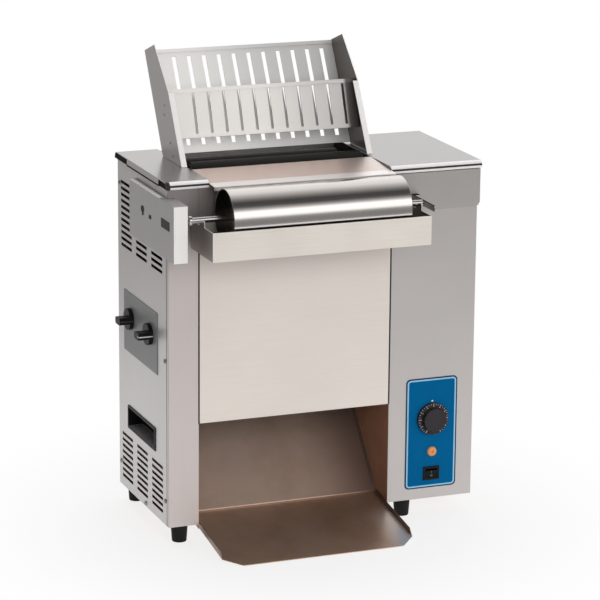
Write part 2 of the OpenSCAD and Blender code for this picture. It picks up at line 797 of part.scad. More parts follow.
module control_overlay() {
  x0 = chamber_x1 + overlay_inset;
  color([0.05, 0.36, 0.6]) placed() difference() {
    along_y(-overlay_t, 0) translate([x0, overlay_z]) rounded(overlay_w, overlay_h, overlay_corner);
    rod_y(-overlay_t - 1, 1, control_axis, dial_z, stem_r + run_gap);
    rod_y(-overlay_t - 1, 1, control_axis, lamp_z, lamp_neck_r + run_gap);
    switch_cut(-overlay_t - 1, 1);
  }
}

// Inside of the cabinet

function element_z(i) = platen_z0 + (i + 0.5) * (platen_z1 - platen_z0) / element_count;

module platen() color([0.62, 0.61, 0.6]) placed() difference() {
  block([chamber_x0 + platen_gap, platen_y - platen_t / 2, platen_z0],
        [chamber_x1 - platen_gap, platen_y + platen_t / 2, platen_z1]);
  for (i = [0:element_count - 1])
    rod_x(chamber_x0, chamber_x1, platen_y, element_z(i), element_r + shaft_play);
}

module heating_elements() {
  tail = 20;
  color([0.35, 0.34, 0.33]) placed() for (i = [0:element_count - 1])
    rod_x(chamber_x0 + platen_gap, wall_right + tail, platen_y, element_z(i), element_r);
}

module platen_standoffs() color(steel) placed()
  for (x = [chamber_x0, chamber_x1 - platen_gap], side = [0, 1]) {
    z = side == 0 ? platen_z0 : platen_z1 - standoff;
    block([x, platen_y - standoff / 2, z], [x + platen_gap, platen_y + standoff / 2, z + standoff]);
  }

module bearing(x0, y) difference() {
  union() {
    rod_x(x0, x0 + sheet_t, y, drive_z, bearing_r);
    rod_x(x0 - bearing_flange_t, x0, y, drive_z, bearing_flange_r);
  }
  rod_x(x0 - bearing_flange_t - 1, x0 + sheet_t + 1, y, drive_z, shaft_r + shaft_play);
}

module shaft_bearings() color([0.6, 0.45, 0.2]) placed()
  for (y = [front_belt_y, rear_belt_y]) {
    bearing(chamber_x0 - sheet_t, y);
    translate([chamber_x0 + chamber_x1, 0, 0]) mirror([1, 0, 0]) bearing(chamber_x0 - sheet_t, y);
  }

// Gearbox on four posts from the chamber wall, with the motor running back from it
module gearmotor() {
  half = gearbox_w / 2;
  post_set = post_r + 1;
  color([0.25, 0.26, 0.28]) placed() difference() {
    union() {
      block([gearbox_x0, front_belt_y - half, gearbox_z0],
            [gearbox_x0 + gearbox_len, front_belt_y + half, gearbox_z1]);
      rod_y(front_belt_y + half, front_belt_y + half + motor_len, gearbox_x0 + motor_r,
            gearbox_z0 + motor_r + 1, motor_r);
      for (y = [front_belt_y - half + post_set, front_belt_y + half - post_set],
           z = [gearbox_z0 + post_set, pinion_z - 2 * post_set])
        rod_x(wall_right, gearbox_x0, y, z, post_r);
    }
    rod_x(gearbox_x0 - 1, gearbox_x0 + gearbox_len / 2, front_belt_y, pinion_z, axle_r + shaft_play);
  }
}

module thermostat_body() {
  half = 18;
  depth = thermostat_depth;
  color([0.8, 0.78, 0.7]) placed() difference() {
    block([control_axis - half, sheet_t, dial_z - half],
          [control_axis + half, sheet_t + depth, dial_z + half]);
    rod_y(0, sheet_t + depth / 2, control_axis, dial_z, stem_r + shaft_play);
  }
}

module pilot_lamp() {
  rim = 1.5;
  dome = 4;
  body_depth = 26;
  color([0.95, 0.45, 0.1]) placed() {
    translate([control_axis, -overlay_t, lamp_z]) rotate([90, 0, 0]) rotate_extrude() polygon(concat(
      [[0, 0], [lamp_r, 0]],
      [for (a = [0:15:90]) [lamp_r * (0.5 + 0.5 * cos(a)), rim + dome * sin(a)]],
      [[0, rim + dome]]));
    rod_y(-overlay_t, body_depth, control_axis, lamp_z, lamp_neck_r);
  }
}

module switch_housing() {
  w = switch_w - 2 * switch_rim;
  h = switch_h - 2 * switch_rim;
  wall = switch_wall;
  depth = 24;
  color(black) placed() difference() {
    union() {
      block([control_axis - switch_w / 2, -switch_face, switch_z - switch_h / 2],
            [control_axis + switch_w / 2, -overlay_t, switch_z + switch_h / 2]);
      block([control_axis - w / 2, -overlay_t, switch_z - h / 2],
            [control_axis + w / 2, depth, switch_z + h / 2]);
    }
    block([control_axis - w / 2 + wall, -switch_face - 1, switch_z - h / 2 + wall],
          [control_axis + w / 2 - wall, depth - wall, switch_z + h / 2 - wall]);
    rod_x(control_axis - w / 2 - 1, control_axis + w / 2 + 1, rocker_y, switch_z,
          rocker_pin_r + shaft_play);
  }
}

module terminal_block() {
  length = 70;
  depth = 24;
  height = 22;
  ways = 5;
  from_back = 70;
  color([0.9, 0.88, 0.82]) placed() translate([fan_x - length / 2, cab_d - from_back, sheet_t]) difference() {
    cube([length, depth, height]);
    for (i = [0:ways - 1])
      translate([(i + 0.5) * length / ways, depth / 2, height / 2]) cylinder(h = height, r = 4);
  }
}

module fan_frame() {
  half = fan_side / 2;
  duct = half - 2;
  strut = 4;
  color(black) placed() translate([fan_x, fan_y1, fan_z]) rotate([90, 0, 0]) {
    linear_extrude(fan_depth) difference() {
      translate([-half, -half]) square(fan_side);
      circle(duct);
    }
    linear_extrude(fan_back) {
      translate([-duct - 1, -strut / 2]) square([2 * duct + 2, strut]);
      translate([-strut / 2, -duct - 1]) square([strut, 2 * duct + 2]);
      circle(fan_hub_r);
    }
    cylinder(h = fan_depth / 2, r = fan_pin_r);
  }
}

module fan_rotor() {
  back = fan_back + run_gap;
  tip = fan_side / 2 - 4;
  color([0.12, 0.12, 0.13]) placed() translate([fan_x, fan_y1 - back, fan_z]) rotate([90, 0, 0])
    difference() {
      union() {
        cylinder(h = fan_depth - back - 1, r = fan_hub_r);
        for (i = [0:fan_blades - 1]) rotate([0, 0, i * 360 / fan_blades])
          translate([fan_hub_r - 2, 0, fan_depth / 2 - back]) rotate([35, 0, 0])
            translate([0, -1, -fan_depth * 0.4]) cube([tip - fan_hub_r, 2, fan_depth * 0.75]);
      }
      translate([0, 0, -1]) cylinder(h = fan_depth / 2 + 1, r = fan_pin_r + shaft_play);
    }
}

module cord_gland() {
  nut_in = 6;
  color(black) placed() difference() {
    union() {
      rod_y(cab_d, cab_d + gland_out, gland_x, gland_z, gland_nut_r);
      rod_y(cab_d - sheet_t, cab_d, gland_x, gland_z, gland_thread_r);
      rod_y(cab_d - sheet_t - nut_in, cab_d - sheet_t, gland_x, gland_z, gland_nut_r);
    }
    rod_y(cab_d - sheet_t - nut_in - 1, cab_d + gland_out + 1, gland_x, gland_z, gland_bore_r);
  }
}

// Conveyors

module belt(y, top_z) along_x(roller_x0 + belt_edge, roller_x1 - belt_edge) difference() {
  loop(y, top_z, belt_r);
  loop(y, top_z, belt_in_r);
}

module loop(y, top_z, r) {
  translate([y, drive_z]) circle(r);
  translate([y, top_z]) circle(r);
  translate([y - r, drive_z]) square([2 * r, top_z - drive_z]);
}

module frame_plate(y, top_z) {
  translate([y, drive_z]) circle(frame_low_r);
  translate([y, top_z]) circle(frame_high_r);
  polygon([[y - frame_low_r, drive_z], [y + frame_low_r, drive_z],
           [y + frame_high_r, top_z], [y - frame_high_r, top_z]]);
}

module conveyor_frame(y, top_z, follower_y) {
  thirds = (top_z - drive_z) / 3;
  difference() {
    union() {
      along_x(frame_x0, frame_x0 + frame_t) frame_plate(y, top_z);
      along_x(frame_x1 - frame_t, frame_x1) frame_plate(y, top_z);
      for (i = [1, 2]) rod_x(frame_x0, frame_x1, y, drive_z + i * thirds, tie_r);
      rod_x(cam_x0, frame_x0 + frame_t / 2, follower_y, knob_z, follower_r);
    }
    rod_x(frame_x0 - 1, frame_x1 + 1, y, drive_z, shaft_r + shaft_play);
    rod_x(frame_x0 - 1, frame_x1 + 1, y, top_z, axle_r + shaft_play);
  }
}

module top_roller(y, top_z) {
  rod_x(roller_x0, roller_x1, y, top_z, roller_r);
  rod_x(frame_x0 - 1, frame_x1 + 1, y, top_z, axle_r);
}

module drive_roller(y) {
  rod_x(roller_x0, roller_x1, y, drive_z, roller_r);
  rod_x(chamber_x0 - sheet_t - bearing_flange_t - 2, drive_shaft_end, y, drive_z, shaft_r);
}

// Spur gear outline with straight-sided teeth
module gear_outline(teeth, turn) {
  backlash = 0.12;
  function tooth(i) = let (
    r = teeth * gear_m / 2, top = r + 0.9 * gear_m, root = r - 1.2 * gear_m, step = 360 / teeth,
    wide = step * (0.36 - backlash / 2), narrow = step * (0.16 - backlash / 4))
    [for (p = [[root, -wide], [top, -narrow], [top, narrow], [root, wide]])
      p[0] * [cos(i * step + p[1] + turn), sin(i * step + p[1] + turn)]];
  polygon([for (i = [0:teeth - 1], p = tooth(i)) p]);
}

function gear_y(i) = front_belt_y + i * 2 * gear_r;

// One of the four gears in a row: every second one starts half a tooth further on
module row_gear(i, bore_r) color([0.55, 0.55, 0.58]) placed() difference() {
  translate([0, gear_y(i), drive_z]) along_x(gear_x0, gear_x1)
    gear_outline(gear_teeth, i % 2 * 180 / gear_teeth);
  rod_x(gear_x0 - 1, gear_x1 + 1, gear_y(i), drive_z, bore_r + shaft_play);
}

module front_belt() color([0.2, 0.19, 0.18]) placed() belt(front_belt_y, front_top_z);
module rear_belt() color([0.2, 0.19, 0.18]) placed() belt(rear_belt_y, rear_top_z);
module front_conveyor_frame() color(steel) placed()
  conveyor_frame(front_belt_y, front_top_z, front_follower_y);
module rear_conveyor_frame() color(steel) placed()
  conveyor_frame(rear_belt_y, rear_top_z, rear_follower_y);
module front_top_roller() color(dark_steel) placed() top_roller(front_belt_y, front_top_z);
module rear_top_roller() color(dark_steel) placed() top_roller(rear_belt_y, rear_top_z);
module front_drive_roller() color(dark_steel) placed() drive_roller(front_belt_y);
module rear_drive_roller() color(dark_steel) placed() drive_roller(rear_belt_y);
module front_drive_gear() row_gear(0, shaft_r);
module front_idler_gear() row_gear(1, stud_r);
module rear_idler_gear() row_gear(2, stud_r);
module rear_drive_gear() row_gear(3, shaft_r);

// The pinion starts with a gap where the front gear has its lowest tooth, or the other way round
module motor_pinion() {
  down_tooth = gear_teeth * 0.75;
  offset_turn = (down_tooth - floor(down_tooth)) * 360 / pinion_teeth;
  color([0.55, 0.55, 0.58]) placed() {
    translate([0, front_belt_y, pinion_z]) along_x(gear_x0, gear_x1)
      gear_outline(pinion_teeth, 90 + 180 / pinion_teeth + offset_turn);
    rod_x(gear_x0, gearbox_x0 + gearbox_len / 2 - 1, front_belt_y, pinion_z, axle_r);
  }
}

// Knobs with their cams

module knob(y) {
  color(black) placed() difference() {
    union() {
      rod_x(knob_x - knob_skirt, knob_x, y, knob_z, knob_r);
      along_x(knob_tip, knob_x - knob_skirt / 2) translate([y - knob_r, knob_z - knob_grip_w / 2])
        rounded(knob_r + knob_grip_w / 2, knob_grip_w, knob_grip_w / 3);
    }
    rod_x(knob_bore_x, knob_x + 1, y, knob_z, spindle_r + shaft_play);
  }
}

module cam_spindle(y) {
  function cam_at(a) = cam_r + cam_rise * (a <= knob_turn ? a / knob_turn : (360 - a) / (360 - knob_turn));
  color(steel) placed() {
    rod_x(knob_bore_x + run_gap, cam_x0 + cam_t, y, knob_z, spindle_r);
    translate([0, y, knob_z]) along_x(cam_x0, cam_x0 + cam_t)
      polygon([for (a = [0:6:354]) cam_at(a) * [cos(a), sin(a)]]);
  }
}

module front_knob() knob(front_knob_y);
module rear_knob() knob(rear_knob_y);
module front_cam_spindle() cam_spindle(front_knob_y);
module rear_cam_spindle() cam_spindle(rear_knob_y);

module thermostat_dial() {
  skirt = 6;
  grip_r = dial_r * 0.74;
  flutes = 18;
  flute_r = 2.2;
  stem_short = 3;
  stem_in = sheet_t + thermostat_depth / 2 - stem_short;
  color(black) placed() difference() {
    union() {
      rod_y(-dial_gap - skirt, -dial_gap, control_axis, dial_z, dial_r);
      rod_y(-dial_gap - dial_len, -dial_gap, control_axis, dial_z, grip_r);
      rod_y(-dial_gap - 1, stem_in, control_axis, dial_z, stem_r);
    }
    for (i = [0:flutes - 1])
      translate([control_axis, 0, dial_z]) rotate([0, (i + 0.5) * 360 / flutes, 0])
        rod_y(-dial_gap - dial_len - 1, -dial_gap - skirt - run_gap, grip_r + 1, 0, flute_r);
  }
}

module switch_rocker() {
  inset = switch_rim + switch_wall + run_gap;
  w = switch_w - 2 * inset;
  half = switch_h / 2 - inset;
  pin = switch_w / 2 - switch_rim;
  tall = 7.5;
  hollow = 0.8;
  face_edge = 1.3;
  back_edge = 2.4;
  color(black) placed() translate([control_axis, rocker_y, switch_z]) rotate([rocker_tilt, 0, 0]) {
    along_x(-w / 2, w / 2) polygon([
      [-tall, face_edge - half], [hollow - tall, 0], [-tall, half - face_edge],
      [2, half - back_edge], [3, 0], [2, back_edge - half]
    ]);
    rod_x(-pin, pin, 0, 0, rocker_pin_r);
  }
}

// Loose covers, tray, feeder

module front_cover() {
  w = chamber_w - 2 * cover_gap;
  h = cover_z1 - cover_z0;
  color([0.85, 0.83, 0.79]) placed() {
    block([chamber_x0 + cover_gap, 0, cover_z0], [chamber_x1 - cover_gap, sheet_t, cover_z1]);
    along_y(0, cover_return) translate([chamber_x0 + cover_gap, cover_z0]) ring(w, h, sheet_t);
  }
}

module landing_tray() {
  x0 = chamber_x0 + tray_side_gap;
  x1 = chamber_x1 - tray_side_gap;
  edge_y0 = -tray_reach + tray_cut;
  edge_y1 = ramp_y - 6;
  color(dark_steel) placed() {
    intersection() {
      along_x(x0, x1) polygon([
        [-tray_reach, tray_top(-tray_reach)], [tray_back, tray_top(tray_back)],
        [tray_back, tray_top(tray_back) - tray_drop], [-tray_reach, tray_top(-tray_reach) - tray_drop]
      ]);
      translate([0, 0, -foot_h - 1]) linear_extrude(cab_h) polygon([
        [x0 + tray_cut, -tray_reach], [x1 - tray_cut, -tray_reach], [x1, edge_y0],
        [x1, tray_back], [x0, tray_back], [x0, edge_y0]
      ]);
    }
    for (x = [x0, x1 - sheet_t]) along_x(x, x + sheet_t) polygon([
      [edge_y0, tray_top(edge_y0) - tray_drop], [edge_y0 + tray_edge, tray_top(edge_y0) + tray_edge],
      [edge_y1, tray_top(edge_y1) + tray_edge_back], [edge_y1, tray_top(edge_y1) - tray_drop]
    ]);
  }
}

module feeder_side(x0, flange_x0) {
  foot = [feeder_front, feeder_z];
  bend = foot + [feeder_bend_y, feeder_bend_z];
  edge = [sheet_t / cos(flange_lean), 0];
  along_x(x0, x0 + sheet_t) polygon([
    foot, bend, [feeder_top_y - feeder_top_w, feeder_top_z + feeder_top_rise],
    [feeder_top_y, feeder_top_z], [feeder_back, feeder_z]
  ]);
  along_x(flange_x0, flange_x0 + feeder_flange - sheet_t) polygon([foot, bend, bend + edge, foot + edge]);
}

module feeder_side_plates() color(steel) placed() {
  feeder_side(feeder_x0, feeder_x0 + sheet_t);
  feeder_side(feeder_x1 - sheet_t, feeder_x1 - feeder_flange);
}

// A slotted plate that leans back by an angle, between the side plates, with hemmed edges
module leaning_plate(y, z, lean, height, slot, margin, hems) {
  w = feeder_w - 2 * sheet_t - 2 * shaft_play;
  count = floor((w - 2 * (slot_margin + slot_shift)) / slot_pitch) + 1;
  first = (w - (count - 1) * slot_pitch) / 2 + slot_shift;
  translate([feeder_x0 + sheet_t + shaft_play, y, z]) rotate([-lean, 0, 0]) difference() {
    union() {
      translate([0, -sheet_t, 0]) cube([w, sheet_t, height]);
      for (edge = hems) translate([0, -2 * sheet_t, edge * (height - plate_hem)])
        cube([w, 2 * sheet_t, plate_hem]);
    }
    for (i = [0:count - 1])
      translate([first + i * slot_pitch - slot / 2, -2 * sheet_t, margin])
        cube([slot, 3 * sheet_t, height - 2 * margin]);
  }
}

module feeder_back_plate() color(steel) placed()
  leaning_plate(feeder_back, feeder_z + sheet_t, feeder_lean,
                feeder_len - 2 * sheet_t, slot_w, slot_margin, [1]);

module feeder_divider() color(steel) placed()
  leaning_plate(divider_y, cab_h + divider_rise, divider_lean, divider_len, divider_slot_w,
                slot_margin / 2, [0, 1]);

// Butter roller and its pan

module saddle(x) difference() {
  along_x(x, x + pan_t) translate([roller_y - saddle_w / 2, pan_z + pan_h])
    square([saddle_w, roller_z - pan_z - pan_h]);
  rod_x(x - 1, x + pan_t + 1, roller_y, roller_z, roller_shaft_r + shaft_play);
}

module butter_pan() color([0.83, 0.81, 0.77]) placed() {
  difference() {
    block([pan_x, pan_y0, pan_z], [pan_x1, pan_y1, pan_z + pan_h]);
    block([pan_x + pan_t, pan_y0 + pan_t, pan_z + pan_t],
          [pan_x1 - pan_t, pan_y1 - pan_t, pan_z + pan_h + 1]);
  }
  saddle(pan_x);
  saddle(pan_x1 - pan_t);
}

module butter_roller() {
  disc = 3;
  color([0.8, 0.79, 0.77]) placed() difference() {
    rod_x(tube_x0, tube_x1, roller_y, roller_z, roller_out_r);
    rod_x(tube_x0 - 1, tube_x0 + roller_recess, roller_y, roller_z, roller_out_r - roller_wall);
    rod_x(tube_x0 + roller_recess + disc, tube_x1 - roller_recess - disc, roller_y, roller_z,
          roller_out_r - roller_wall);
    rod_x(tube_x1 - roller_recess, tube_x1 + 1, roller_y, roller_z, roller_out_r - roller_wall);
    rod_x(tube_x0 - 1, tube_x1 + 1, roller_y, roller_z, roller_shaft_r + shaft_play);
  }
}

module roller_shaft() color(steel) placed() {
  rod_x(shaft_x0, shaft_x1, roller_y, roller_z, roller_shaft_r);
  rod_x(shaft_x0 + 1, shaft_x0 + 1 + collar_w, roller_y, roller_z, collar_r);
}

// Box-shaped bracket on the left side panel and in front of the left post
module left_roller_bracket() {
  inner = bracket_inner;
  top = bracket_z + bracket_h;
  hole_y = bracket_back * 0.58;
  hole_z = bracket_z + bracket_h * 0.61;
  hole_r = 5;
  low_hole_y = bracket_back * 0.34;
  low_hole_z = bracket_z + bracket_h * 0.553;
  low_hole_r = 3.5;
  color(steel) placed() {
    difference() {
      block([-bracket_out, -bracket_front, bracket_z], [-bracket_out + sheet_t, bracket_back, top]);
      rod_x(-bracket_out - 1, -bracket_out + sheet_t + 1, hole_y, hole_z, hole_r);
      rod_x(-bracket_out - 1, -bracket_out + sheet_t + 1, low_hole_y, low_hole_z, low_hole_r);
    }
    block([-bracket_out, -bracket_front, bracket_z], [inner, -bracket_front + sheet_t, top]);
    block([-bracket_out, -bracket_front, top - sheet_t], [inner, 0, top]);
    block([-bracket_out, -sheet_t, top - sheet_t], [0, bracket_back, top]);
    block([inner - sheet_t, -bracket_front, bracket_z], [inner, 0, top]);
  }
}

// Slim arm at the right end of the pan, with a gusset and a foot on the front panel
module right_roller_bracket() {
  foot = 14;
  root = 12;
  nose = side_bracket_arm * 0.6;
  back = -band_step - run_gap;
  z0 = pan_z;
  z1 = z0 + side_bracket_h;
  arm_z = z1 - side_bracket_arm;
  color(steel) placed() {
    along_x(side_bracket_x, side_bracket_x + sheet_t) polygon([
      [back, z1], [-side_bracket_front + nose, z1], [-side_bracket_front, z1 - nose],
      [-side_bracket_front, arm_z], [back - root - side_bracket_corner, arm_z],
      [back - root, arm_z - side_bracket_corner], [back - root, z0], [0, z0],
      [0, band_z0 - run_gap], [back, band_z0 - run_gap]
    ]);
    block([side_bracket_x, back - root, z1 - sheet_t], [side_bracket_x + foot, back, z1]);
    block([side_bracket_x, -side_bracket_front + nose, z1 - sheet_t],
          [side_bracket_x + side_bracket_arm / 2, back, z1]);
    block([side_bracket_x, -sheet_t, z0], [side_bracket_x + foot, 0, band_z0 - run_gap]);
  }
}

base_pan();
back_panel();
left_side_panel();
right_side_panel();
left_front_post();
right_front_panel();
right_band();
front_header();
left_inner_wall();
right_inner_wall();
left_top_cover();
right_top_cover();
centre_top_plate();
discharge_chute();
feet();
panel_screws();
knob_plate();
handle_pockets();
control_overlay();
left_roller_bracket();
right_roller_bracket();
platen();
heating_elements();
platen_standoffs();
shaft_bearings();
gearmotor();
thermostat_body();
pilot_lamp();
switch_housing();
terminal_block();
fan_frame();
cord_gland();
front_belt();
front_conveyor_frame();
front_top_roller();
front_drive_roller();
front_drive_gear();
front_idler_gear();
rear_idler_gear();
rear_belt();
rear_conveyor_frame();
rear_top_roller();
rear_drive_roller();
rear_drive_gear();
motor_pinion();
front_knob();
front_cam_spindle();
rear_knob();
rear_cam_spindle();
thermostat_dial();
switch_rocker();
fan_rotor();
front_cover();
landing_tray();
feeder_side_plates();
feeder_back_plate();
feeder_divider();
butter_pan();
butter_roller();
roller_shaft();
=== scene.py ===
"""Looks of the vertical bun toaster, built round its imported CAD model.

Blender works in metres. Places on the cabinet and the sizes of small parts are written in millimetres,
and at() or MM turns them into metres.
"""
import json
import math
import bpy
from mathutils import Matrix, Vector


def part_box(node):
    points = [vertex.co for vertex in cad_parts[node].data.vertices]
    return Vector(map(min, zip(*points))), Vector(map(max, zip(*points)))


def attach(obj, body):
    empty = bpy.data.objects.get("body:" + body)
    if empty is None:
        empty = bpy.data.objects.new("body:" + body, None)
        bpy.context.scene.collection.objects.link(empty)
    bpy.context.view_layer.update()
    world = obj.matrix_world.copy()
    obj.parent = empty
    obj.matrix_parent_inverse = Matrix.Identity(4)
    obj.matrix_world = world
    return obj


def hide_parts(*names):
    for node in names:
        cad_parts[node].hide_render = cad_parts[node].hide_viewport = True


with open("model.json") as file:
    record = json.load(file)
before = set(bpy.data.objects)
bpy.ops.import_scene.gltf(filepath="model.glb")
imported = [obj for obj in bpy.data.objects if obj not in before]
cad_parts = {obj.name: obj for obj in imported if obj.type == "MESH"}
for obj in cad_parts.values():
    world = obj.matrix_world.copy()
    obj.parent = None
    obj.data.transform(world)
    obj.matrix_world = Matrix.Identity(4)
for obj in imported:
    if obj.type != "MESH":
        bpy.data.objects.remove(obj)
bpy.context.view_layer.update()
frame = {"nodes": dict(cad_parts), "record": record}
nodes = frame["nodes"]
bodies = frame["record"]["behaviour"]["bodies"]
node_body = {node: body for body, members in bodies.items() for node in members}
node_slot = {part["node"]: part["material_slot"] for part in frame["record"]["subparts"]}

# Places on the cabinet, in millimetres

MM = 0.001
ORIGIN_RIGHT, ORIGIN_BEHIND, ORIGIN_BELOW = 264, 77, 30     # the frame's origin, seen from the cabinet
CABINET_RIGHT, CABINET_BACK = 550, 264
CONTROL_X, DIAL_Z, LAMP_Z = 474.5, 143, 84
BRACKET_FACE = -12

plate_low, plate_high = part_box("centre_top_plate")
PLATE_FRONT = plate_low[1] / MM + ORIGIN_BEHIND
PLATE_LEFT, PLATE_RIGHT = (corner[0] / MM + ORIGIN_RIGHT for corner in (plate_low, plate_high))


def at(x, y, z):
    """Millimetres from the cabinet's left side, its front plane and its base, as a point of the frame."""
    return Vector((x - ORIGIN_RIGHT, y - ORIGIN_BEHIND, z + ORIGIN_BELOW)) * MM


def stretch(axis, start, end):
    """An axis and two such millimetre places along it, in the frame's metres."""
    i = "XYZ".index(axis)
    return axis, at(start, start, start)[i], at(end, end, end)[i]


def bring_in(name, data):
    """A new object in the scene."""
    thing = bpy.data.objects.new(name, data)
    bpy.context.scene.collection.objects.link(thing)
    return thing


# Camera: the photograph's viewing angle

CAMERA_ANGLES = (-21.38, 14.67, 0.49)   # turn, rise and roll in degrees
CAMERA_AIM = at(288.3, 146.7, 331.2)
CAMERA_AWAY = 5.078
FOCAL_PIXELS, PHOTO_PIXELS = 2961, 600
SENSOR_WIDTH = 36


def stand_camera():
    """The camera at its distance from the aim, turned by its three angles."""
    turn, rise, roll = (math.radians(angle) for angle in CAMERA_ANGLES)
    back = Vector((math.sin(turn) * math.cos(rise), -math.cos(turn) * math.cos(rise), math.sin(rise)))
    level = Vector((math.cos(turn), math.sin(turn), 0))
    upright = back.cross(level)
    right = level * math.cos(roll) + upright * math.sin(roll)
    up = upright * math.cos(roll) - level * math.sin(roll)
    lens = bpy.data.cameras.new("studio_camera")
    lens.sensor_width = SENSOR_WIDTH
    lens.lens = FOCAL_PIXELS * SENSOR_WIDTH / PHOTO_PIXELS
    lens.clip_start = 0.05
    camera = bring_in("studio_camera", lens)
    pointing = Matrix((right, up, back)).transposed().to_4x4()
    camera.matrix_world = Matrix.Translation(CAMERA_AIM + back * CAMERA_AWAY) @ pointing
    bpy.context.scene.camera = camera


stand_camera()


# Shader maths

class Value:
    """A shader socket that can be reckoned with: each operation adds its Math node."""

    def __init__(self, shader, socket):
        self.shader = shader
        self.socket = socket

    def reckon(self, operation, first, second):
        return self.shader.node("ShaderNodeMath", {"operation": operation}, {0: first, 1: second})

    def __add__(self, other):
        return self.reckon("ADD", self, other)

    def __radd__(self, other):
        return self.reckon("ADD", other, self)

    def __sub__(self, other):
        return self.reckon("SUBTRACT", self, other)

    def __rsub__(self, other):
        return self.reckon("SUBTRACT", other, self)

    def __mul__(self, other):
        return self.reckon("MULTIPLY", self, other)

    def __rmul__(self, other):
        return self.reckon("MULTIPLY", other, self)

    def __truediv__(self, other):
        return self.reckon("DIVIDE", self, other)

    def __rtruediv__(self, other):
        return self.reckon("DIVIDE", other, self)

    def either(self, other):
        """The higher of two values."""
        return self.reckon("MAXIMUM", self, other)


class Shader:
    """A node tree that starts empty."""

    def __init__(self, tree):
        self.tree = tree
        tree.nodes.clear()

    def node(self, kind, settings=None, sockets=None, out=0):
        """Adds a node, sets its settings and then the values or links of its sockets, and gives one output."""
        made = self.tree.nodes.new(kind)
        for key, value in (settings or {}).items():
            if key == "stops":
                ramp = made.color_ramp.elements
                while len(ramp) < len(value):
                    ramp.new(0.5)
                for stop, (place, colour) in zip(ramp, value):
                    stop.position = place
                    stop.color = colour
            else:
                setattr(made, key, value)
        for key, value in (sockets or {}).items():
            self.join(made.inputs[key], value)
        return Value(self, made.outputs[out] if made.outputs else None)

    def join(self, socket, value):
        """Gives an input socket a link or a plain value."""
        if isinstance(value, Value):
            self.tree.links.new(value.socket, socket)
        else:
            socket.default_value = value

    def blend(self, share, low, high):
        """A colour between two, by a value from 0 to 1."""
        return self.node("ShaderNodeMix", {"data_type": "RGBA", "clamp_factor": True},
                         {0: share, 6: low, 7: high}, out=2)

    def fade(self, value, start, end, low=0.0, high=1.0):
        """A smooth step from low to high while the value goes from start to end."""
        return self.node("ShaderNodeMapRange", {"interpolation_type": "SMOOTHSTEP"},
                         {0: value, 1: start, 2: end, 3: low, 4: high})

    def rays(self, *kinds):
        """1 for rays of any of these kinds, and 0 for the others."""
        path = self.node("ShaderNodeLightPath").socket.node.outputs
        first, *others = (Value(self, path[kind]) for kind in kinds)
        for other in others:
            first = first.either(other)
        return first


class Finish(Shader):
    """A material under construction, with its Principled shader."""

    def __init__(self, name, colour, rough, metal=0.0, **fixed):
        self.material = bpy.data.materials.new(name)
        self.material.use_nodes = True
        super().__init__(self.material.node_tree)
        self.surface = self.node("ShaderNodeBsdfPrincipled")
        self.inputs = self.surface.socket.node.inputs
        self.node("ShaderNodeOutputMaterial", {}, {0: self.surface})
        self.material.diffuse_color = (*colour, 1)
        self.set("Base Color", (*colour, 1))
        self.set("Roughness", rough)
        self.set("Metallic", metal)
        for socket, value in fixed.items():
            self.set(socket.replace("_", " "), value)

    def set(self, socket, value):
        """Gives one of the Principled shader's sockets a link or a value."""
        self.join(self.inputs[socket], value)

    def place(self, scale=(1, 1, 1), shift=(0, 0, 0)):
        """Object coordinates, stretched and shifted."""
        raw = self.node("ShaderNodeTexCoord", out="Object")
        return self.node("ShaderNodeMapping", {}, {0: raw, 1: shift, 3: scale})

    def part(self, axis):
        """One of the object coordinates."""
        raw = self.node("ShaderNodeTexCoord", out="Object")
        return self.node("ShaderNodeSeparateXYZ", {}, {0: raw}, out=axis)

    def distance(self, **spot):
        """How far a point lies from the middle of a place."""
        return self.node("ShaderNodeVectorMath", {"operation": "LENGTH"}, {0: self.place(**spot)}, out="Value")

    def noise(self, size, detail, rough, **spot):
        """Noise from 0 to 1 round a mean of 0.5, so that (noise - 0.5) * k swings a value both ways."""
        return self.node("ShaderNodeTexNoise", {"noise_dimensions": "3D"},
                         {"Vector": self.place(**spot), "Scale": size, "Detail": detail, "Roughness": rough})

    def shifted(self, tone, shifts):
        """A tone that goes over into other colours, each along one or more stretches."""
        for colour, *stretches in shifts:
            share = 1.0
            for axis, start, end in stretches:
                share = self.fade(self.part(axis), start, end) * share
            tone = self.blend(share, tone, (*colour, 1))
        return tone

    def bumps(self, height, strength, reach):
        """A surface raised by a height, with its reach in millimetres."""
        return self.node("ShaderNodeBump", {}, {"Strength": strength, "Distance": reach * MM, "Height": height})


def tint(colour, by):
    """A colour made darker or lighter, as a socket takes it."""
    return tuple(c * by for c in colour) + (1,)


# Recipes of the finishes

# The noise's scale on each axis, coarse along the grain
GRAIN = {"x": (22, 1300, 1300), "y": (1300, 22, 1300), "z": (1300, 1300, 22)}
WIDE_GRAIN = {axis: tuple(scale / 5 for scale in scales) for axis, scales in GRAIN.items()}


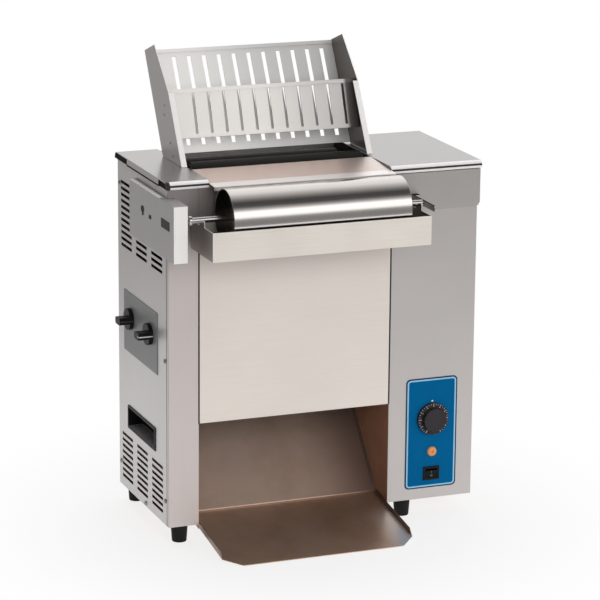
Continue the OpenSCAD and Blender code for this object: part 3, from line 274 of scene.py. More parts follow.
def brushed(name, colour, grain, rough, metal, brush, smudge=0.06, shifts=()):
    """Sheet steel: fine lines along the grain, wide smudges and a few rubbed spots."""
    f = Finish(name, colour, rough, metal)
    line = f.noise(1.0, detail=2.0, rough=0.6, scale=GRAIN[grain])
    wide = f.noise(1.0, detail=2.0, rough=0.5, scale=WIDE_GRAIN[grain])
    cloud = f.noise(5.5, detail=3.0, rough=0.55)
    rubbed = f.noise(24.0, detail=4.0, rough=0.65)
    share = 0.5 + (line - 0.5) * 1.2 + (wide - 0.5) * 0.5 + (cloud - 0.5) * (smudge / brush)
    tone = f.blend(share, tint(colour, 1 - brush), tint(colour, 1 + brush))
    f.set("Base Color", f.shifted(tone, shifts))
    f.set("Roughness", rough + (line - 0.5) * 0.08 + (cloud - 0.5) * 0.1 + (rubbed - 0.5) * 0.05)
    f.set("Normal", f.bumps(line * 0.7 + wide * 0.3, strength=0.04, reach=0.4))
    return f.material


def stained(name, colour, stain, grain, rough, metal=0.8, shifts=()):
    """Steel near the heat: brushed, with brown tints, dull patches and dark specks."""
    f = Finish(name, colour, rough, metal)
    line = f.noise(1.0, detail=2.0, rough=0.6, scale=GRAIN[grain])
    patch = f.noise(7.0, detail=4.0, rough=0.6)
    speck = f.noise(160.0, detail=2.0, rough=0.5)
    share = (patch - 0.38) * 2.2 + (line - 0.5) * 0.4
    tone = f.blend(share, (*colour, 1), (*stain, 1))
    tone = f.blend((speck - 0.7) * 1.5, tone, tint(stain, 0.6))
    f.set("Base Color", f.shifted(tone, shifts))
    f.set("Roughness", rough + (patch - 0.5) * 0.2 + (line - 0.5) * 0.08)
    f.set("Normal", f.bumps(line + speck * 0.3, strength=0.05, reach=0.4))
    return f.material


def turned(name, colour, rough, lines=2600):
    """Turned metal: fine rings round the piece's length in x."""
    f = Finish(name, colour, rough, metal=1.0)
    ring = f.noise(1.0, detail=2.0, rough=0.6, scale=(lines, 9, 9))
    cloud = f.noise(14.0, detail=3.0, rough=0.6)
    share = 0.5 + (ring - 0.5) * 1.2 + (cloud - 0.5) * 0.6
    f.set("Base Color", f.blend(share, tint(colour, 0.94), tint(colour, 1.05)))
    f.set("Roughness", rough + (ring - 0.5) * 0.06 + (cloud - 0.5) * 0.06)
    f.set("Normal", f.bumps(ring, strength=0.03, reach=0.3))
    return f.material


def moulded(name, colour, rough, grain=900.0, depth=0.18):
    """Moulded plastic or rubber with a fine texture and slight wear."""
    f = Finish(name, colour, rough, Specular_IOR_Level=0.15)
    fine = f.noise(grain, detail=2.0, rough=0.5)
    wear = f.noise(45.0, detail=4.0, rough=0.65)
    share = 0.4 + (wear - 0.5) * 1.2 + (fine - 0.5) * 0.5
    f.set("Base Color", f.blend(share, tint(colour, 0.8), tint(colour, 1.35)))
    f.set("Roughness", rough + (wear - 0.5) * 0.2 + (fine - 0.5) * 0.1)
    f.set("Normal", f.bumps(fine, strength=depth, reach=0.3))
    return f.material


def painted(name, colour, rough, peel=420.0, shine=0.5):
    """Paint or print with a slight orange peel."""
    f = Finish(name, colour, rough, Specular_IOR_Level=shine)
    skin = f.noise(peel, detail=2.0, rough=0.5)
    cloud = f.noise(18.0, detail=3.0, rough=0.6)
    share = 0.5 + (cloud - 0.5) * 1.2 + (skin - 0.5) * 0.3
    f.set("Base Color", f.blend(share, tint(colour, 0.92), tint(colour, 1.08)))
    f.set("Roughness", rough + (cloud - 0.5) * 0.15)
    f.set("Normal", f.bumps(skin, strength=0.05, reach=0.3))
    return f.material


def woven_belt(name, colour):
    """Coated belt fabric: a square weave that still shows through the coat."""
    f = Finish(name, colour, rough=0.42, Specular_IOR_Level=0.1)
    wave = {"Scale": 190.0, "Distortion": 0.6, "Detail": 1.0}
    across, along = (f.node("ShaderNodeTexWave", {"bands_direction": axis}, {"Vector": f.place(), **wave})
                     for axis in "XZ")
    grease = f.noise(12.0, detail=4.0, rough=0.6)
    weave = across * along
    f.set("Base Color", f.blend(weave * 0.6 + (grease - 0.4), tint(colour, 0.55), tint(colour, 1.6)))
    f.set("Roughness", 0.34 + grease * 0.25)
    f.set("Normal", f.bumps(weave, strength=0.3, reach=0.4))
    return f.material


def lamp_lens(name, rim, glow, heart, axis):
    """The pilot lamp's lens: a pale moulded rim, clear colour inside it and the bulb's dark middle."""
    f = Finish(name, glow, rough=0.22, Coat_Roughness=0.06)
    far = f.distance(scale=(1, 0, 1), shift=(-axis.x, 0, -axis.z))
    ripple = f.noise(260.0, detail=2.0, rough=0.5)
    past_heart = f.fade(far, 0.6 * MM, 2.6 * MM)
    on_rim = f.fade(far, 4.0 * MM, 5.4 * MM) + (ripple - 0.5) * 0.2
    f.set("Base Color", f.blend(on_rim, f.blend(past_heart, (*heart, 1), (*glow, 1)), (*rim, 1)))
    f.set("Roughness", 0.2 + ripple * 0.12)
    f.set("Coat Weight", 0.4 + (ripple - 0.5) * 0.4)
    return f.material


def hemmed(name, colour, dark, low, high, end):
    """A cover's folded front edge in painted light: near-white steel for a painted highlight, a painted dark
    reflection band between two heights, and painted shade at the open left end.
    """
    f = Finish(name, colour, rough=0.4, metal=0.2)
    blur = 0.4 * MM
    height = f.part("Z")
    # Painted reflection: the dark band between the two heights; painted shade: the dark left of the open end.
    painted_dark = f.fade(height, low - blur, low + blur) * (1 - f.fade(height, high - blur, high + blur))
    painted_dark = painted_dark.either(f.fade(f.part("X"), end + blur, end - blur))
    line = f.noise(1.0, detail=2.0, rough=0.6, scale=GRAIN["x"])
    steel = f.blend(line, tint(colour, 0.95), tint(colour, 1.04))
    f.set("Base Color", f.blend(painted_dark, steel, (*dark, 1)))
    f.set("Roughness", 0.38 + (line - 0.5) * 0.1 + painted_dark * 0.2)
    f.set("Normal", f.bumps(line - painted_dark, strength=0.05, reach=0.4))
    return f.material


# Finishes of the cabinet

# Painted shade: the front cover darkens towards its top under the butter pan, and the post darkens between 430
# and 540 mm up beside it.
FRONT = brushed("front_cover_steel", (0.845, 0.775, 0.72), "x", rough=0.44, metal=0.55, brush=0.04, shifts=[
    ((0.72, 0.66, 0.615), stretch("Z", 395, 480))])
POST = brushed("post_steel", (0.67, 0.61, 0.595), "z", rough=0.46, metal=0.7, brush=0.03, smudge=0.04, shifts=[
    ((0.42, 0.38, 0.37), stretch("Z", 430, 540))])
PANEL = brushed("front_panel_steel", (0.59, 0.56, 0.545), "z", rough=0.46, metal=0.7, brush=0.025, smudge=0.04)
SIDE = brushed("side_panel_steel", (0.65, 0.625, 0.625), "z", rough=0.42, metal=0.7, brush=0.03, smudge=0.04)
BAND = brushed("band_steel", (0.55, 0.53, 0.51), "x", rough=0.42, metal=0.75, brush=0.03, smudge=0.04)
COVER = brushed("top_cover_steel", (0.425, 0.415, 0.425), "y", rough=0.22, metal=1.0, brush=0.04)
# The centre plate turns greyer towards its right end; its near-white front lip is a painted highlight.
CENTRE = brushed("centre_plate_steel", (0.77, 0.615, 0.555), "x", rough=0.34, metal=0.85, brush=0.04, shifts=[
    ((0.82, 0.74, 0.71), stretch("X", 320, 390)),
    ((0.98, 0.95, 0.93), stretch("Y", PLATE_FRONT + 27, PLATE_FRONT + 22))])
# Near-white steel that hardly mirrors: painted highlights on edges and on faces turned to the light, and the
# pale blank plate on the back.
BRIGHT = brushed("pale_steel_painted_highlight", (0.97, 0.95, 0.93), "z", rough=0.45, metal=0.15, brush=0.03)
# The covers' front edges, painted with a highlight, a dark reflection band and the shade in the left cover's
# open end.
HEM = hemmed("cover_edge_painted_light", (0.95, 0.935, 0.93), (0.03, 0.028, 0.028),
             low=at(0, 0, 579.8).z, high=at(0, 0, 583.2).z, end=at(3, 0, 0).x)
# Near-black painted shade, for gaps, slot walls, hollows and a bracket top that lie in shadow.
PAINTED_SHADE = painted("seam_shade", (0.014, 0.0125, 0.012), rough=0.6, shine=0.04)
SCREW = turned("screw_steel", (0.34, 0.33, 0.32), rough=0.34, lines=3000)
RUBBER = moulded("foot_rubber", (0.012, 0.012, 0.012), rough=0.6, grain=500.0, depth=0.3)

# Finishes of the butter roller, its pan and its brackets

BRACKET = brushed("bracket_steel", (0.485, 0.465, 0.475), "y", rough=0.36, metal=0.85, brush=0.03, smudge=0.04)
# Painted light on the bracket's top: dark grey for its shaded part, going over into a near-white painted
# reflection on the outer part towards the back.
BRACKET_TOP = brushed("bracket_top_painted_light", (0.3, 0.288, 0.288), "y", rough=0.45, metal=0.15, brush=0.03,
                      smudge=0.04, shifts=[((0.95, 0.93, 0.92), stretch("Y", 8, 14), stretch("X", -3.5, -5.5))])
PAN = brushed("butter_pan_steel", (0.93, 0.87, 0.8), "x", rough=0.45, metal=0.45, brush=0.06, smudge=0.1)
PAN_SIDE = brushed("butter_pan_side", (0.42, 0.385, 0.36), "y", rough=0.34, metal=0.8, brush=0.05, smudge=0.2)
PAN_INSIDE = stained("butter_pan_inside", (0.22, 0.2, 0.185), (0.12, 0.1, 0.085), "x", rough=0.34)
ROLLER = turned("butter_roller_steel", (0.77, 0.735, 0.71), rough=0.16)
ROLLER_INSIDE = turned("butter_roller_inside", (0.1, 0.09, 0.08), rough=0.4)
SHAFT = turned("shaft_steel", (0.7, 0.69, 0.68), rough=0.22, lines=1600)

# Finishes of the feeder, the chute and the landing tray

FEEDER = brushed("feeder_steel", (0.5, 0.485, 0.475), "z", rough=0.32, metal=0.9, brush=0.03)
# Painted shade: a dark, streaky copy of the feeder steel for the side plates' inner faces.
FEEDER_INSIDE = brushed("feeder_inside_shade", (0.19, 0.17, 0.16), "z", rough=0.3, metal=0.9, brush=0.3,
                        smudge=0.5)
# Painted shade: the slotted plate goes darker towards the right.
SLATS = brushed("slotted_plate_steel", (0.9, 0.885, 0.865), "z", rough=0.45, metal=0.05, brush=0.03, shifts=[
    ((0.58, 0.575, 0.57), stretch("X", 60, 340))])
# Painted shade: the divider goes darker towards the right and near-black at its end beyond the last slot.
DIVIDER = brushed("divider_steel", (0.9, 0.875, 0.84), "z", rough=0.45, metal=0.05, brush=0.03, shifts=[
    ((0.64, 0.62, 0.6), stretch("X", 200, 370)),
    ((0.11, 0.1, 0.095), stretch("X", 378, 386))])
# The tray's brown tints are its own; the near-white towards its right front corner is a painted highlight.
TRAY = stained("landing_tray_steel", (0.74, 0.53, 0.41), (0.46, 0.275, 0.18), "x", rough=0.33, metal=0.78,
               shifts=[((0.98, 0.89, 0.82), stretch("X", 330, 385), stretch("Y", 10, -50))])
TRAY_EDGE = stained("tray_edge_steel", (0.3, 0.21, 0.165), (0.17, 0.105, 0.075), "y", rough=0.36, metal=0.75)
# Painted shade: the ramp goes darker towards the right.
RAMP = stained("ramp_steel", (0.7, 0.53, 0.44), (0.44, 0.27, 0.175), "y", rough=0.34, metal=0.65, shifts=[
    ((0.32, 0.23, 0.195), stretch("X", 270, 385))])
INNER = stained("chamber_steel", (0.78, 0.47, 0.33), (0.49, 0.285, 0.19), "z", rough=0.4, shifts=[
    ((0.014, 0.013, 0.012), stretch("Z", 230, 420))])

# Finishes of the knobs and controls

PLATE = painted("knob_plate_paint", (0.23, 0.235, 0.237), rough=0.42, peel=700.0)
PLATE_LINE = painted("knob_plate_line", (0.3, 0.305, 0.31), rough=0.42)
LABEL = painted("blank_label_paint", (0.045, 0.045, 0.05), rough=0.45, shine=0.1)
BLACK = moulded("black_plastic", (0.009, 0.0088, 0.009), rough=0.42)
POCKET = moulded("pocket_plastic", (0.24, 0.225, 0.23), rough=0.5)
DIAL = moulded("dial_plastic", (0.034, 0.03, 0.034), rough=0.38)
ROCKER = moulded("rocker_plastic", (0.003, 0.006, 0.0075), rough=0.32)
BLUE = painted("overlay_blue", (0.0, 0.116, 0.295), rough=0.4, shine=0.04)
PALE_BLUE = painted("overlay_line_blue", (0.33, 0.58, 0.79), rough=0.4, shine=0.2)
DEEP_BLUE = painted("overlay_edge_blue", (0.003, 0.03, 0.085), rough=0.4, shine=0.2)
WHITE = painted("mark_white", (0.8, 0.79, 0.77), rough=0.4)
GREY_MARK = painted("mark_grey", (0.13, 0.13, 0.13), rough=0.45)
DARK_MARK = painted("mark_worn", (0.05, 0.048, 0.046), rough=0.5)
LENS = lamp_lens("pilot_lamp_lens", rim=(0.68, 0.34, 0.15), glow=(0.86, 0.24, 0.02), heart=(0.55, 0.11, 0.01),
                 axis=at(CONTROL_X, 0, LAMP_Z))

# Finishes of the works inside

COATED = moulded("conveyor_roller_coat", (0.03, 0.032, 0.032), rough=0.3, grain=500.0, depth=0.05)
GEAR = turned("gear_steel", (0.4, 0.4, 0.42), rough=0.35, lines=1900)
BRONZE = turned("bearing_bronze", (0.5, 0.33, 0.14), rough=0.34, lines=2200)
CREAM = moulded("cream_moulding", (0.62, 0.57, 0.47), rough=0.45)
MOTOR = painted("motor_paint", (0.06, 0.063, 0.068), rough=0.42)
BELT = woven_belt("belt_fabric", (0.016, 0.0155, 0.014))
PLATEN = stained("platen_alloy", (0.34, 0.32, 0.3), (0.2, 0.17, 0.15), "z", rough=0.45)
SHEATH = stained("element_sheath", (0.14, 0.13, 0.125), (0.08, 0.065, 0.06), "x", rough=0.5)

# Nodes that keep their CAD shape and only get a finish

PLAIN_NODES = {
    INNER: ["base_pan", "left_inner_wall", "right_inner_wall"],
    POST: ["platen_standoffs", "front_conveyor_frame", "rear_conveyor_frame"],
    SHAFT: ["front_cam_spindle", "rear_cam_spindle"],
    COATED: ["front_top_roller", "rear_top_roller", "front_drive_roller", "rear_drive_roller"],
    GEAR: ["front_drive_gear", "front_idler_gear", "rear_idler_gear", "rear_drive_gear", "motor_pinion"],
    BRONZE: ["shaft_bearings"],
    MOTOR: ["gearmotor"],
    CREAM: ["thermostat_body", "terminal_block"],
    BLACK: ["fan_frame", "fan_rotor"],
    BELT: ["front_belt", "rear_belt"],
    PLATEN: ["platen"],
    SHEATH: ["heating_elements"],
    LENS: ["pilot_lamp"],
}


def dress(piece, finish):
    """One finish all over a piece."""
    piece.data.materials.clear()
    piece.data.materials.append(finish)


for finish, members in PLAIN_NODES.items():
    for member in members:
        dress(nodes[member], finish)


# Handling of pieces

EDGE_ANGLE, SMOOTH_ANGLE, FLAT_ANGLE = math.radians(32), math.radians(50), math.radians(0.6)
MERGE_DISTANCE = 0.002 * MM


def clear_bench():
    """Object mode, with nothing selected."""
    if bpy.context.object and bpy.context.object.mode != "OBJECT":
        bpy.ops.object.mode_set(mode="OBJECT")
    bpy.ops.object.select_all(action="DESELECT")


def take(piece):
    """Only this piece is selected and active."""
    clear_bench()
    piece.select_set(True)
    bpy.context.view_layer.objects.active = piece


def open_up(piece):
    """Edit mode with the whole mesh selected."""
    take(piece)
    bpy.ops.object.mode_set(mode="EDIT")
    bpy.ops.mesh.select_all(action="SELECT")


def close_up():
    """Back to object mode."""
    bpy.ops.object.mode_set(mode="OBJECT")


def open_at(piece, chosen):
    """Edit mode with only the chosen faces selected."""
    open_up(piece)
    bpy.ops.mesh.select_all(action="DESELECT")
    close_up()
    for face in piece.data.polygons:
        face.select = chosen(face)
    bpy.ops.object.mode_set(mode="EDIT")


def throw_away(piece):
    """A pattern or cutter that has done its work leaves the scene."""
    take(piece)
    bpy.ops.object.delete()


def apply_place(piece):
    """The piece's place, turn and scale go into its mesh."""
    take(piece)
    bpy.ops.object.transform_apply(location=True, rotation=True, scale=True)


def smooth(piece, angle):
    """Smooth shading, except over edges sharper than the angle."""
    take(piece)
    bpy.ops.object.shade_smooth_by_angle(angle=angle)


def soft_edges(piece, width, steps=2):
    """Edges broken by a width in millimetres, and shading that stays level on the flats."""
    take(piece)
    bevel = piece.modifiers.new("edge", "BEVEL")
    bevel.width = width * MM
    bevel.segments = steps
    bevel.limit_method = "ANGLE"
    bevel.angle_limit = EDGE_ANGLE
    bpy.ops.object.modifier_apply(modifier="edge")
    smooth(piece, SMOOTH_ANGLE)
    level = piece.modifiers.new("level", "WEIGHTED_NORMAL")
    level.mode = "FACE_AREA"
    level.weight = 100
    level.keep_sharp = True
    bpy.ops.object.modifier_apply(modifier="level")


def hand_over(piece, name, body, finish, slot, *stands_for):
    """The finished piece gets its name, finish and body, and the nodes that it stands for are hidden. The slot
    argument is not used.
    """
    piece.name = name
    piece.data.name = name
    dress(piece, finish)
    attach(piece, body)
    if stands_for:
        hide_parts(*stands_for)
    return piece


# Nodes whose sheared edges are broken: their finish and the width of the broken edge in millimetres

SOFTENED_NODES = [
    ("left_side_panel", SIDE, 0.4),
    ("right_side_panel", SIDE, 0.4),
    ("back_panel", SIDE, 0.4),
    ("left_front_post", POST, 0.7),
    ("right_front_panel", PANEL, 0.7),
    ("right_band", BAND, 0.7),
    ("left_top_cover", COVER, 0.5),
    ("right_top_cover", COVER, 0.5),
    ("centre_top_plate", CENTRE, 0.7),
    ("front_cover", FRONT, 1.2),
    ("butter_pan", PAN, 0.5),
    ("left_roller_bracket", BRACKET, 0.6),
    ("right_roller_bracket", BAND, 0.5),
    ("feeder_side_plates", FEEDER, 0.5),
    ("feeder_back_plate", SLATS, 0.4),
    ("feeder_divider", DIVIDER, 0.4),
    ("landing_tray", TRAY, 0.6),
    ("discharge_chute", RAMP, 0.6),
    ("knob_plate", PLATE, 0.4),
    ("control_overlay", BLUE, 0.3),
    ("handle_pockets", BLACK, 0.7),
    ("front_knob", BLACK, 1.2),
    ("rear_knob", BLACK, 1.2),
    ("thermostat_dial", DIAL, 0.7),
    ("switch_housing", BLACK, 0.6),
    ("switch_rocker", ROCKER, 0.6),
    ("feet", RUBBER, 1.5),
    ("butter_roller", ROLLER, 0.6),
    ("roller_shaft", SHAFT, 0.6),
    ("front_header", POST, 0.5),
    ("cord_gland", BLACK, 1.0),
]


def softened(node, finish, width):
    """A node's own shape with its triangles merged and its edges broken."""
    clear_bench()
    piece = bring_in(node + "_soft", nodes[node].data.copy())
    take(piece)
    bpy.ops.mesh.customdata_custom_splitnormals_clear()
    open_up(piece)
    bpy.ops.mesh.remove_doubles(threshold=MERGE_DISTANCE)
    bpy.ops.mesh.dissolve_limited(angle_limit=FLAT_ANGLE)
    close_up()
    soft_edges(piece, width)
    return hand_over(piece, node + "_soft", node_body[node], finish, node_slot[node], node)


soft = {node: softened(node, finish, width) for node, finish, width in SOFTENED_NODES}


# Faces with a finish of their own, picked by their middle and their normal

PAN_LOW, PAN_HIGH = (Vector(c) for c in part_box("butter_pan"))
PANEL_LOW, PANEL_HIGH = (Vector(c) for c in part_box("left_side_panel"))
TRAY_LOW, TRAY_HIGH = (Vector(c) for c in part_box("landing_tray"))
PAN_MIDDLE = (PAN_LOW + PAN_HIGH) / 2
PAN_WALL, PAN_BRIM = 4 * MM, 20 * MM
OUTLINE = 3 * MM
ROLLER_AXIS = at(0, -59, 536.7)
ROLLER_BORE = 30 * MM
FEEDER_MIDDLE = at(230, 0, 0)
POCKET_LEFT, POCKET_RIGHT = at(3, 0, 0).x, at(547, 0, 0).x
SIDES = {"left": Vector((-1, 0, 0)), "front": Vector((0, -1, 0)), "top": Vector((0, 0, 1))}


def looking(side, least):
    """Faces that look towards one side."""
    return lambda middle, normal: normal.dot(SIDES[side]) > least


def sideways(least):
    """Faces that look to the left or the right."""
    return lambda middle, normal: abs(normal.x) > least


def turned_in(centre, middle, normal):
    """Whether a face on the left or the right looks towards the centre."""
    return (middle.x - centre.x) * normal.x < 0


def in_slot(middle, normal):
    """Cut edges of a side panel away from its outline."""
    within = all(PANEL_LOW[i] + OUTLINE < middle[i] < PANEL_HIGH[i] - OUTLINE for i in (1, 2))
    return within and abs(normal.x) < 0.95


def on_pan_rim(middle, normal):
    """The pan's top edge and its left front corner."""
    brim = normal.z > 0.5 and middle.z > PAN_LOW.z + PAN_BRIM
    return brim or (normal.y < -0.3 and normal.x < -0.3)


def inside_pan(middle, normal):
    """Faces of the pan that look into it."""
    if normal.y > 0.7:
        return middle.y < PAN_LOW.y + PAN_WALL
    if abs(normal.x) > 0.7:
        return turned_in(PAN_MIDDLE, middle, normal)
    return normal.z > 0.7 and middle.z < PAN_LOW.z + PAN_WALL


def inside_roller(middle, normal):
    """The tube's bore, which faces its axis."""
    out = Vector((0, middle.y - ROLLER_AXIS.y, middle.z - ROLLER_AXIS.z))
    return out.length > ROLLER_BORE and normal.dot(out.normalized()) < -0.4


def inside_feeder(middle, normal):
    """The side plates' inner faces."""
    return abs(normal.x) > 0.7 and turned_in(FEEDER_MIDDLE, middle, normal)


def on_pocket_floor(middle, normal):
    """Floors of the handle pockets, behind their frames."""
    return normal.z > 0.3 and POCKET_LEFT < middle.x < POCKET_RIGHT


def on_tray_edge(middle, normal):
    """The tray's upturned edges and their cut tops."""
    within = TRAY_LOW.x + OUTLINE < middle.x < TRAY_HIGH.x - OUTLINE
    return normal.y > -0.5 and (abs(normal.z) < 0.9 or not within)


# A later row wins where two rows pick the same face
FACE_FINISHES = [
    # Painted shade on the vent slots' cut edges.
    ("left_side_panel", PAINTED_SHADE, in_slot),
    ("right_side_panel", PAINTED_SHADE, in_slot),
    # Painted shade: the left cover's side lip in the bracket's darker grey.
    ("left_top_cover", BRACKET, looking("left", 0.6)),
    # Painted highlight, dark reflection band and open-end shade on the covers' front edges.
    ("left_top_cover", HEM, looking("front", 0.15)),
    ("right_top_cover", HEM, looking("front", 0.15)),
    ("right_top_cover", POST, looking("left", 0.6)),
    # Painted shade on the front cover's side edges beside its gaps.
    ("front_cover", PAINTED_SHADE, sideways(0.3)),
    ("butter_pan", PAN_SIDE, sideways(0.7)),
    # Painted highlight on the pan's top edge and left front corner.
    ("butter_pan", BRIGHT, on_pan_rim),
    ("butter_pan", PAN_INSIDE, inside_pan),
    ("butter_roller", ROLLER_INSIDE, inside_roller),
    # Painted highlight on the left bracket's front face, and painted light and shade on its top.
    ("left_roller_bracket", BRIGHT, looking("front", 0.6)),
    ("left_roller_bracket", BRACKET_TOP, looking("top", 0.6)),
    # Painted shade on the right bracket's top.
    ("right_roller_bracket", PAINTED_SHADE, looking("top", 0.5)),
    # Painted shade on the feeder's inner faces, and painted highlights on its front flanges.
    ("feeder_side_plates", FEEDER_INSIDE, inside_feeder),
    ("feeder_side_plates", BRIGHT, looking("front", 0.6)),
    # Painted shade on the divider's slot walls.
    ("feeder_divider", PAINTED_SHADE, sideways(0.5)),
    ("handle_pockets", POCKET, on_pocket_floor),
    ("landing_tray", TRAY_EDGE, on_tray_edge),
]

for node, finish, chosen in FACE_FINISHES:
    mesh = soft[node].data
    mesh.materials.append(finish)
    for face in mesh.polygons:
        if chosen(face.center, face.normal):
            face.material_index = len(mesh.materials) - 1


# Small parts, made flat on the bench with their face up, then set on the cabinet

FACING = {"front": 0, "right": 90, "back": 180, "left": -90}


def set_on(piece, place, facing, lean=0.0):
    """Turns a flat piece's face towards one side of the cabinet and moves its back to a place there."""
    piece.rotation_euler = (math.radians(90 + lean), 0, math.radians(FACING[facing]))
    piece.location = place
    apply_place(piece)
    return piece


def copy_of(piece):
    """A copy with its own mesh."""
    return bring_in(piece.name, piece.data.copy())


def joined(pieces):
    """Several pieces as one mesh."""
    first, *others = pieces
    if others:
        take(first)
        for other in others:
            other.select_set(True)
        bpy.ops.object.join()
    return first


def many(pattern, places):
    """Copies of one small part at places on the sides of the cabinet, as one mesh."""
    made = [set_on(copy_of(pattern), at(*place), facing) for place, facing in places]
    throw_away(pattern)
    return joined(made)


def flat_plate(wide, high, corner, thick, rim=0.0):
    """A plate in millimetres with rounded corners, or only its rim where a rim width is given."""
    clear_bench()
    bpy.ops.mesh.primitive_plane_add(size=1)
    piece = bpy.context.object
    piece.scale = (wide * MM, high * MM, 1)
    apply_place(piece)
    open_up(piece)
    bpy.ops.mesh.bevel(offset_type="OFFSET", offset=corner * MM, segments=6, affect="VERTICES")
    if rim:
        bpy.ops.mesh.select_all(action="SELECT")
        bpy.ops.mesh.inset(thickness=rim * MM)
        bpy.ops.mesh.delete(type="FACE")
    close_up()
    take(piece)
    sheet = piece.modifiers.new("sheet", "SOLIDIFY")
    sheet.thickness = thick * MM
    sheet.offset = 1
    bpy.ops.object.modifier_apply(modifier="sheet")
    soft_edges(piece, min(thick * 0.4, 0.3), steps=1)
    return piece


def fitted(size, place, facing, corner, thick, rim=0.0, lean=0.0):
    """A flat plate set on one side of the cabinet."""
    return set_on(flat_plate(*size, corner, thick, rim), place, facing, lean)


def on_cabinet(name, finish, kin, *pieces):
    """Pieces that stay on the cabinet, as one mesh."""
    hand_over(joined(pieces), name, "root", finish, node_slot[kin])


def cut_out(piece, cutter):
    """Takes the cutter's shape away from the piece."""
    take(piece)
    cut = piece.modifiers.new("cut", "BOOLEAN")
    cut.operation = "DIFFERENCE"
    cut.object = cutter
    bpy.ops.object.modifier_apply(modifier="cut")
    throw_away(cutter)


def screw_head():
    """A pan head with a cross recess."""
    radius, high, rounding = 4 * MM, 2 * MM, 0.9 * MM
    recess_long, recess_wide, recess_deep = 4.2 * MM, 1.0 * MM, 1.8 * MM
    clear_bench()
    bpy.ops.mesh.primitive_cylinder_add(vertices=28, radius=radius, depth=high, location=(0, 0, high / 2))
    head = bpy.context.object
    apply_place(head)
    open_at(head, lambda face: face.normal.z > 0.9)
    bpy.ops.mesh.bevel(offset=rounding, segments=4, affect="EDGES")
    close_up()
    for across in [(recess_long, recess_wide), (recess_wide, recess_long)]:
        clear_bench()
        bpy.ops.mesh.primitive_cube_add(size=1, location=(0, 0, high))
        recess = bpy.context.object
        recess.scale = (*across, recess_deep)
        apply_place(recess)
        cut_out(head, recess)
    smooth(head, math.radians(35))
    return head


def rivet_head(radius, high):
    """A low dome in millimetres."""
    clear_bench()
    bpy.ops.mesh.primitive_uv_sphere_add(segments=20, ring_count=12, radius=radius * MM)
    head = bpy.context.object
    head.scale = (1, 1, high / radius)
    apply_place(head)
    open_up(head)
    bpy.ops.mesh.bisect(plane_co=(0, 0, 0), plane_no=(0, 0, 1), clear_inner=True, use_fill=True)
    close_up()
    smooth(head, math.radians(40))
    return head


# Screws of the panels and rivets of the feeder

SIDE_SCREWS = [(17, 42), (254, 42), (17, 284), (17, 536), (254, 536)]   # from the front plane and the base
BASE_SCREW = (120, 6)
BACK_SCREWS = [(x, z) for x in (20, 530) for z in (42, 284, 536)]
screws = [((0, *spot), "left") for spot in SIDE_SCREWS]
screws += [((0, *BASE_SCREW), "left"), ((CABINET_RIGHT, *BASE_SCREW), "right")]
screws += [((CABINET_RIGHT, *spot), "right") for spot in SIDE_SCREWS[:3]]
screws += [((x, CABINET_BACK, z), "back") for x, z in BACK_SCREWS]
hand_over(many(screw_head(), screws), "panel_screw_heads", node_body["panel_screws"], SCREW,
          node_slot["panel_screws"], "panel_screws")

FEEDER_LEFT, FEEDER_RIGHT = 59, 401
FEEDER_RIVETS = [(193, 676), (193, 660), (148, 599), (161, 619)]
rivets = [((x, *spot), facing) for x, facing in ((FEEDER_LEFT, "left"), (FEEDER_RIGHT, "right"))
          for spot in FEEDER_RIVETS]
hand_over(many(rivet_head(radius=2.2, high=1.1), rivets), "feeder_rivets", node_body["feeder_side_plates"],
          FEEDER, node_slot["feeder_side_plates"])

# Blank plates on the bracket and on the back

on_cabinet("bracket_blank_label", LABEL, "knob_plate",
           fitted((42, 15.5), at(BRACKET_FACE, -22, 524.5), "left", corner=1.5, thick=0.4))

BACK_PLATE_X, BACK_PLATE_Z, BACK_PLATE_THICK = 275, 105, 0.6
on_cabinet("back_blank_plate", BRIGHT, "back_panel",
           fitted((86, 46), at(BACK_PLATE_X, CABINET_BACK, BACK_PLATE_Z), "back",
                  corner=3, thick=BACK_PLATE_THICK))
corners = [((BACK_PLATE_X + x, CABINET_BACK + BACK_PLATE_THICK, BACK_PLATE_Z + z), "back")
           for x in (-38, 38) for z in (-18, 18)]
on_cabinet("back_plate_rivets", SCREW, "panel_screws", many(rivet_head(radius=1.6, high=0.8), corners))

# The post's narrow return on the left side, and a strip of painted shade for the seam beside it

POST_HIGH, POST_MIDDLE = 465, 233.5
on_cabinet("post_wrap", POST, "left_front_post",
           fitted((6.2, POST_HIGH), at(0, 3.6, POST_MIDDLE), "left", corner=0.4, thick=0.5))
on_cabinet("post_gap_shade", PAINTED_SHADE, "left_front_post",
           fitted((3.2, POST_HIGH), at(0, 8.4, POST_MIDDLE), "left", corner=0.3, thick=0.15))

# Painted shade: dark strips in the gaps beside the front cover

on_cabinet("front_cover_gap_shade", PAINTED_SHADE, "left_front_post",
           *(fitted((1.1, 296), at(x, 0, 324), "front", corner=0.3, thick=0.12) for x in (52.4, 394.6)))

# Painted shade: the dark inside of the left cover's open edge, and a shadow line below its tab

on_cabinet("left_cover_shade", PAINTED_SHADE, "left_top_cover",
           fitted((266, 10.4), at(-2.1, 131, 580.9), "left", corner=0.3, thick=0.2),
           fitted((166, 2.8), at(-4, 119, 576.6), "left", corner=0.3, thick=0.12))

# Painted shade: black plates for the shaded insides of the bracket's two holes, the rear one with a tail below
# it

HOLE_SHADES = [((14, 10), 95.1, 525.8), ((5.5, 9), 93.5, 519.5), ((10.5, 7), 55.8, 520)]   # size, y and z
on_cabinet("bracket_hole_shade", BLACK, "knob_plate",
           *(fitted(size, at(BRACKET_FACE, y, z), "left", corner=min(size) / 2.05, thick=0.8)
             for size, y, z in HOLE_SHADES))

# Cheeks that close the covers' ends beside the centre plate

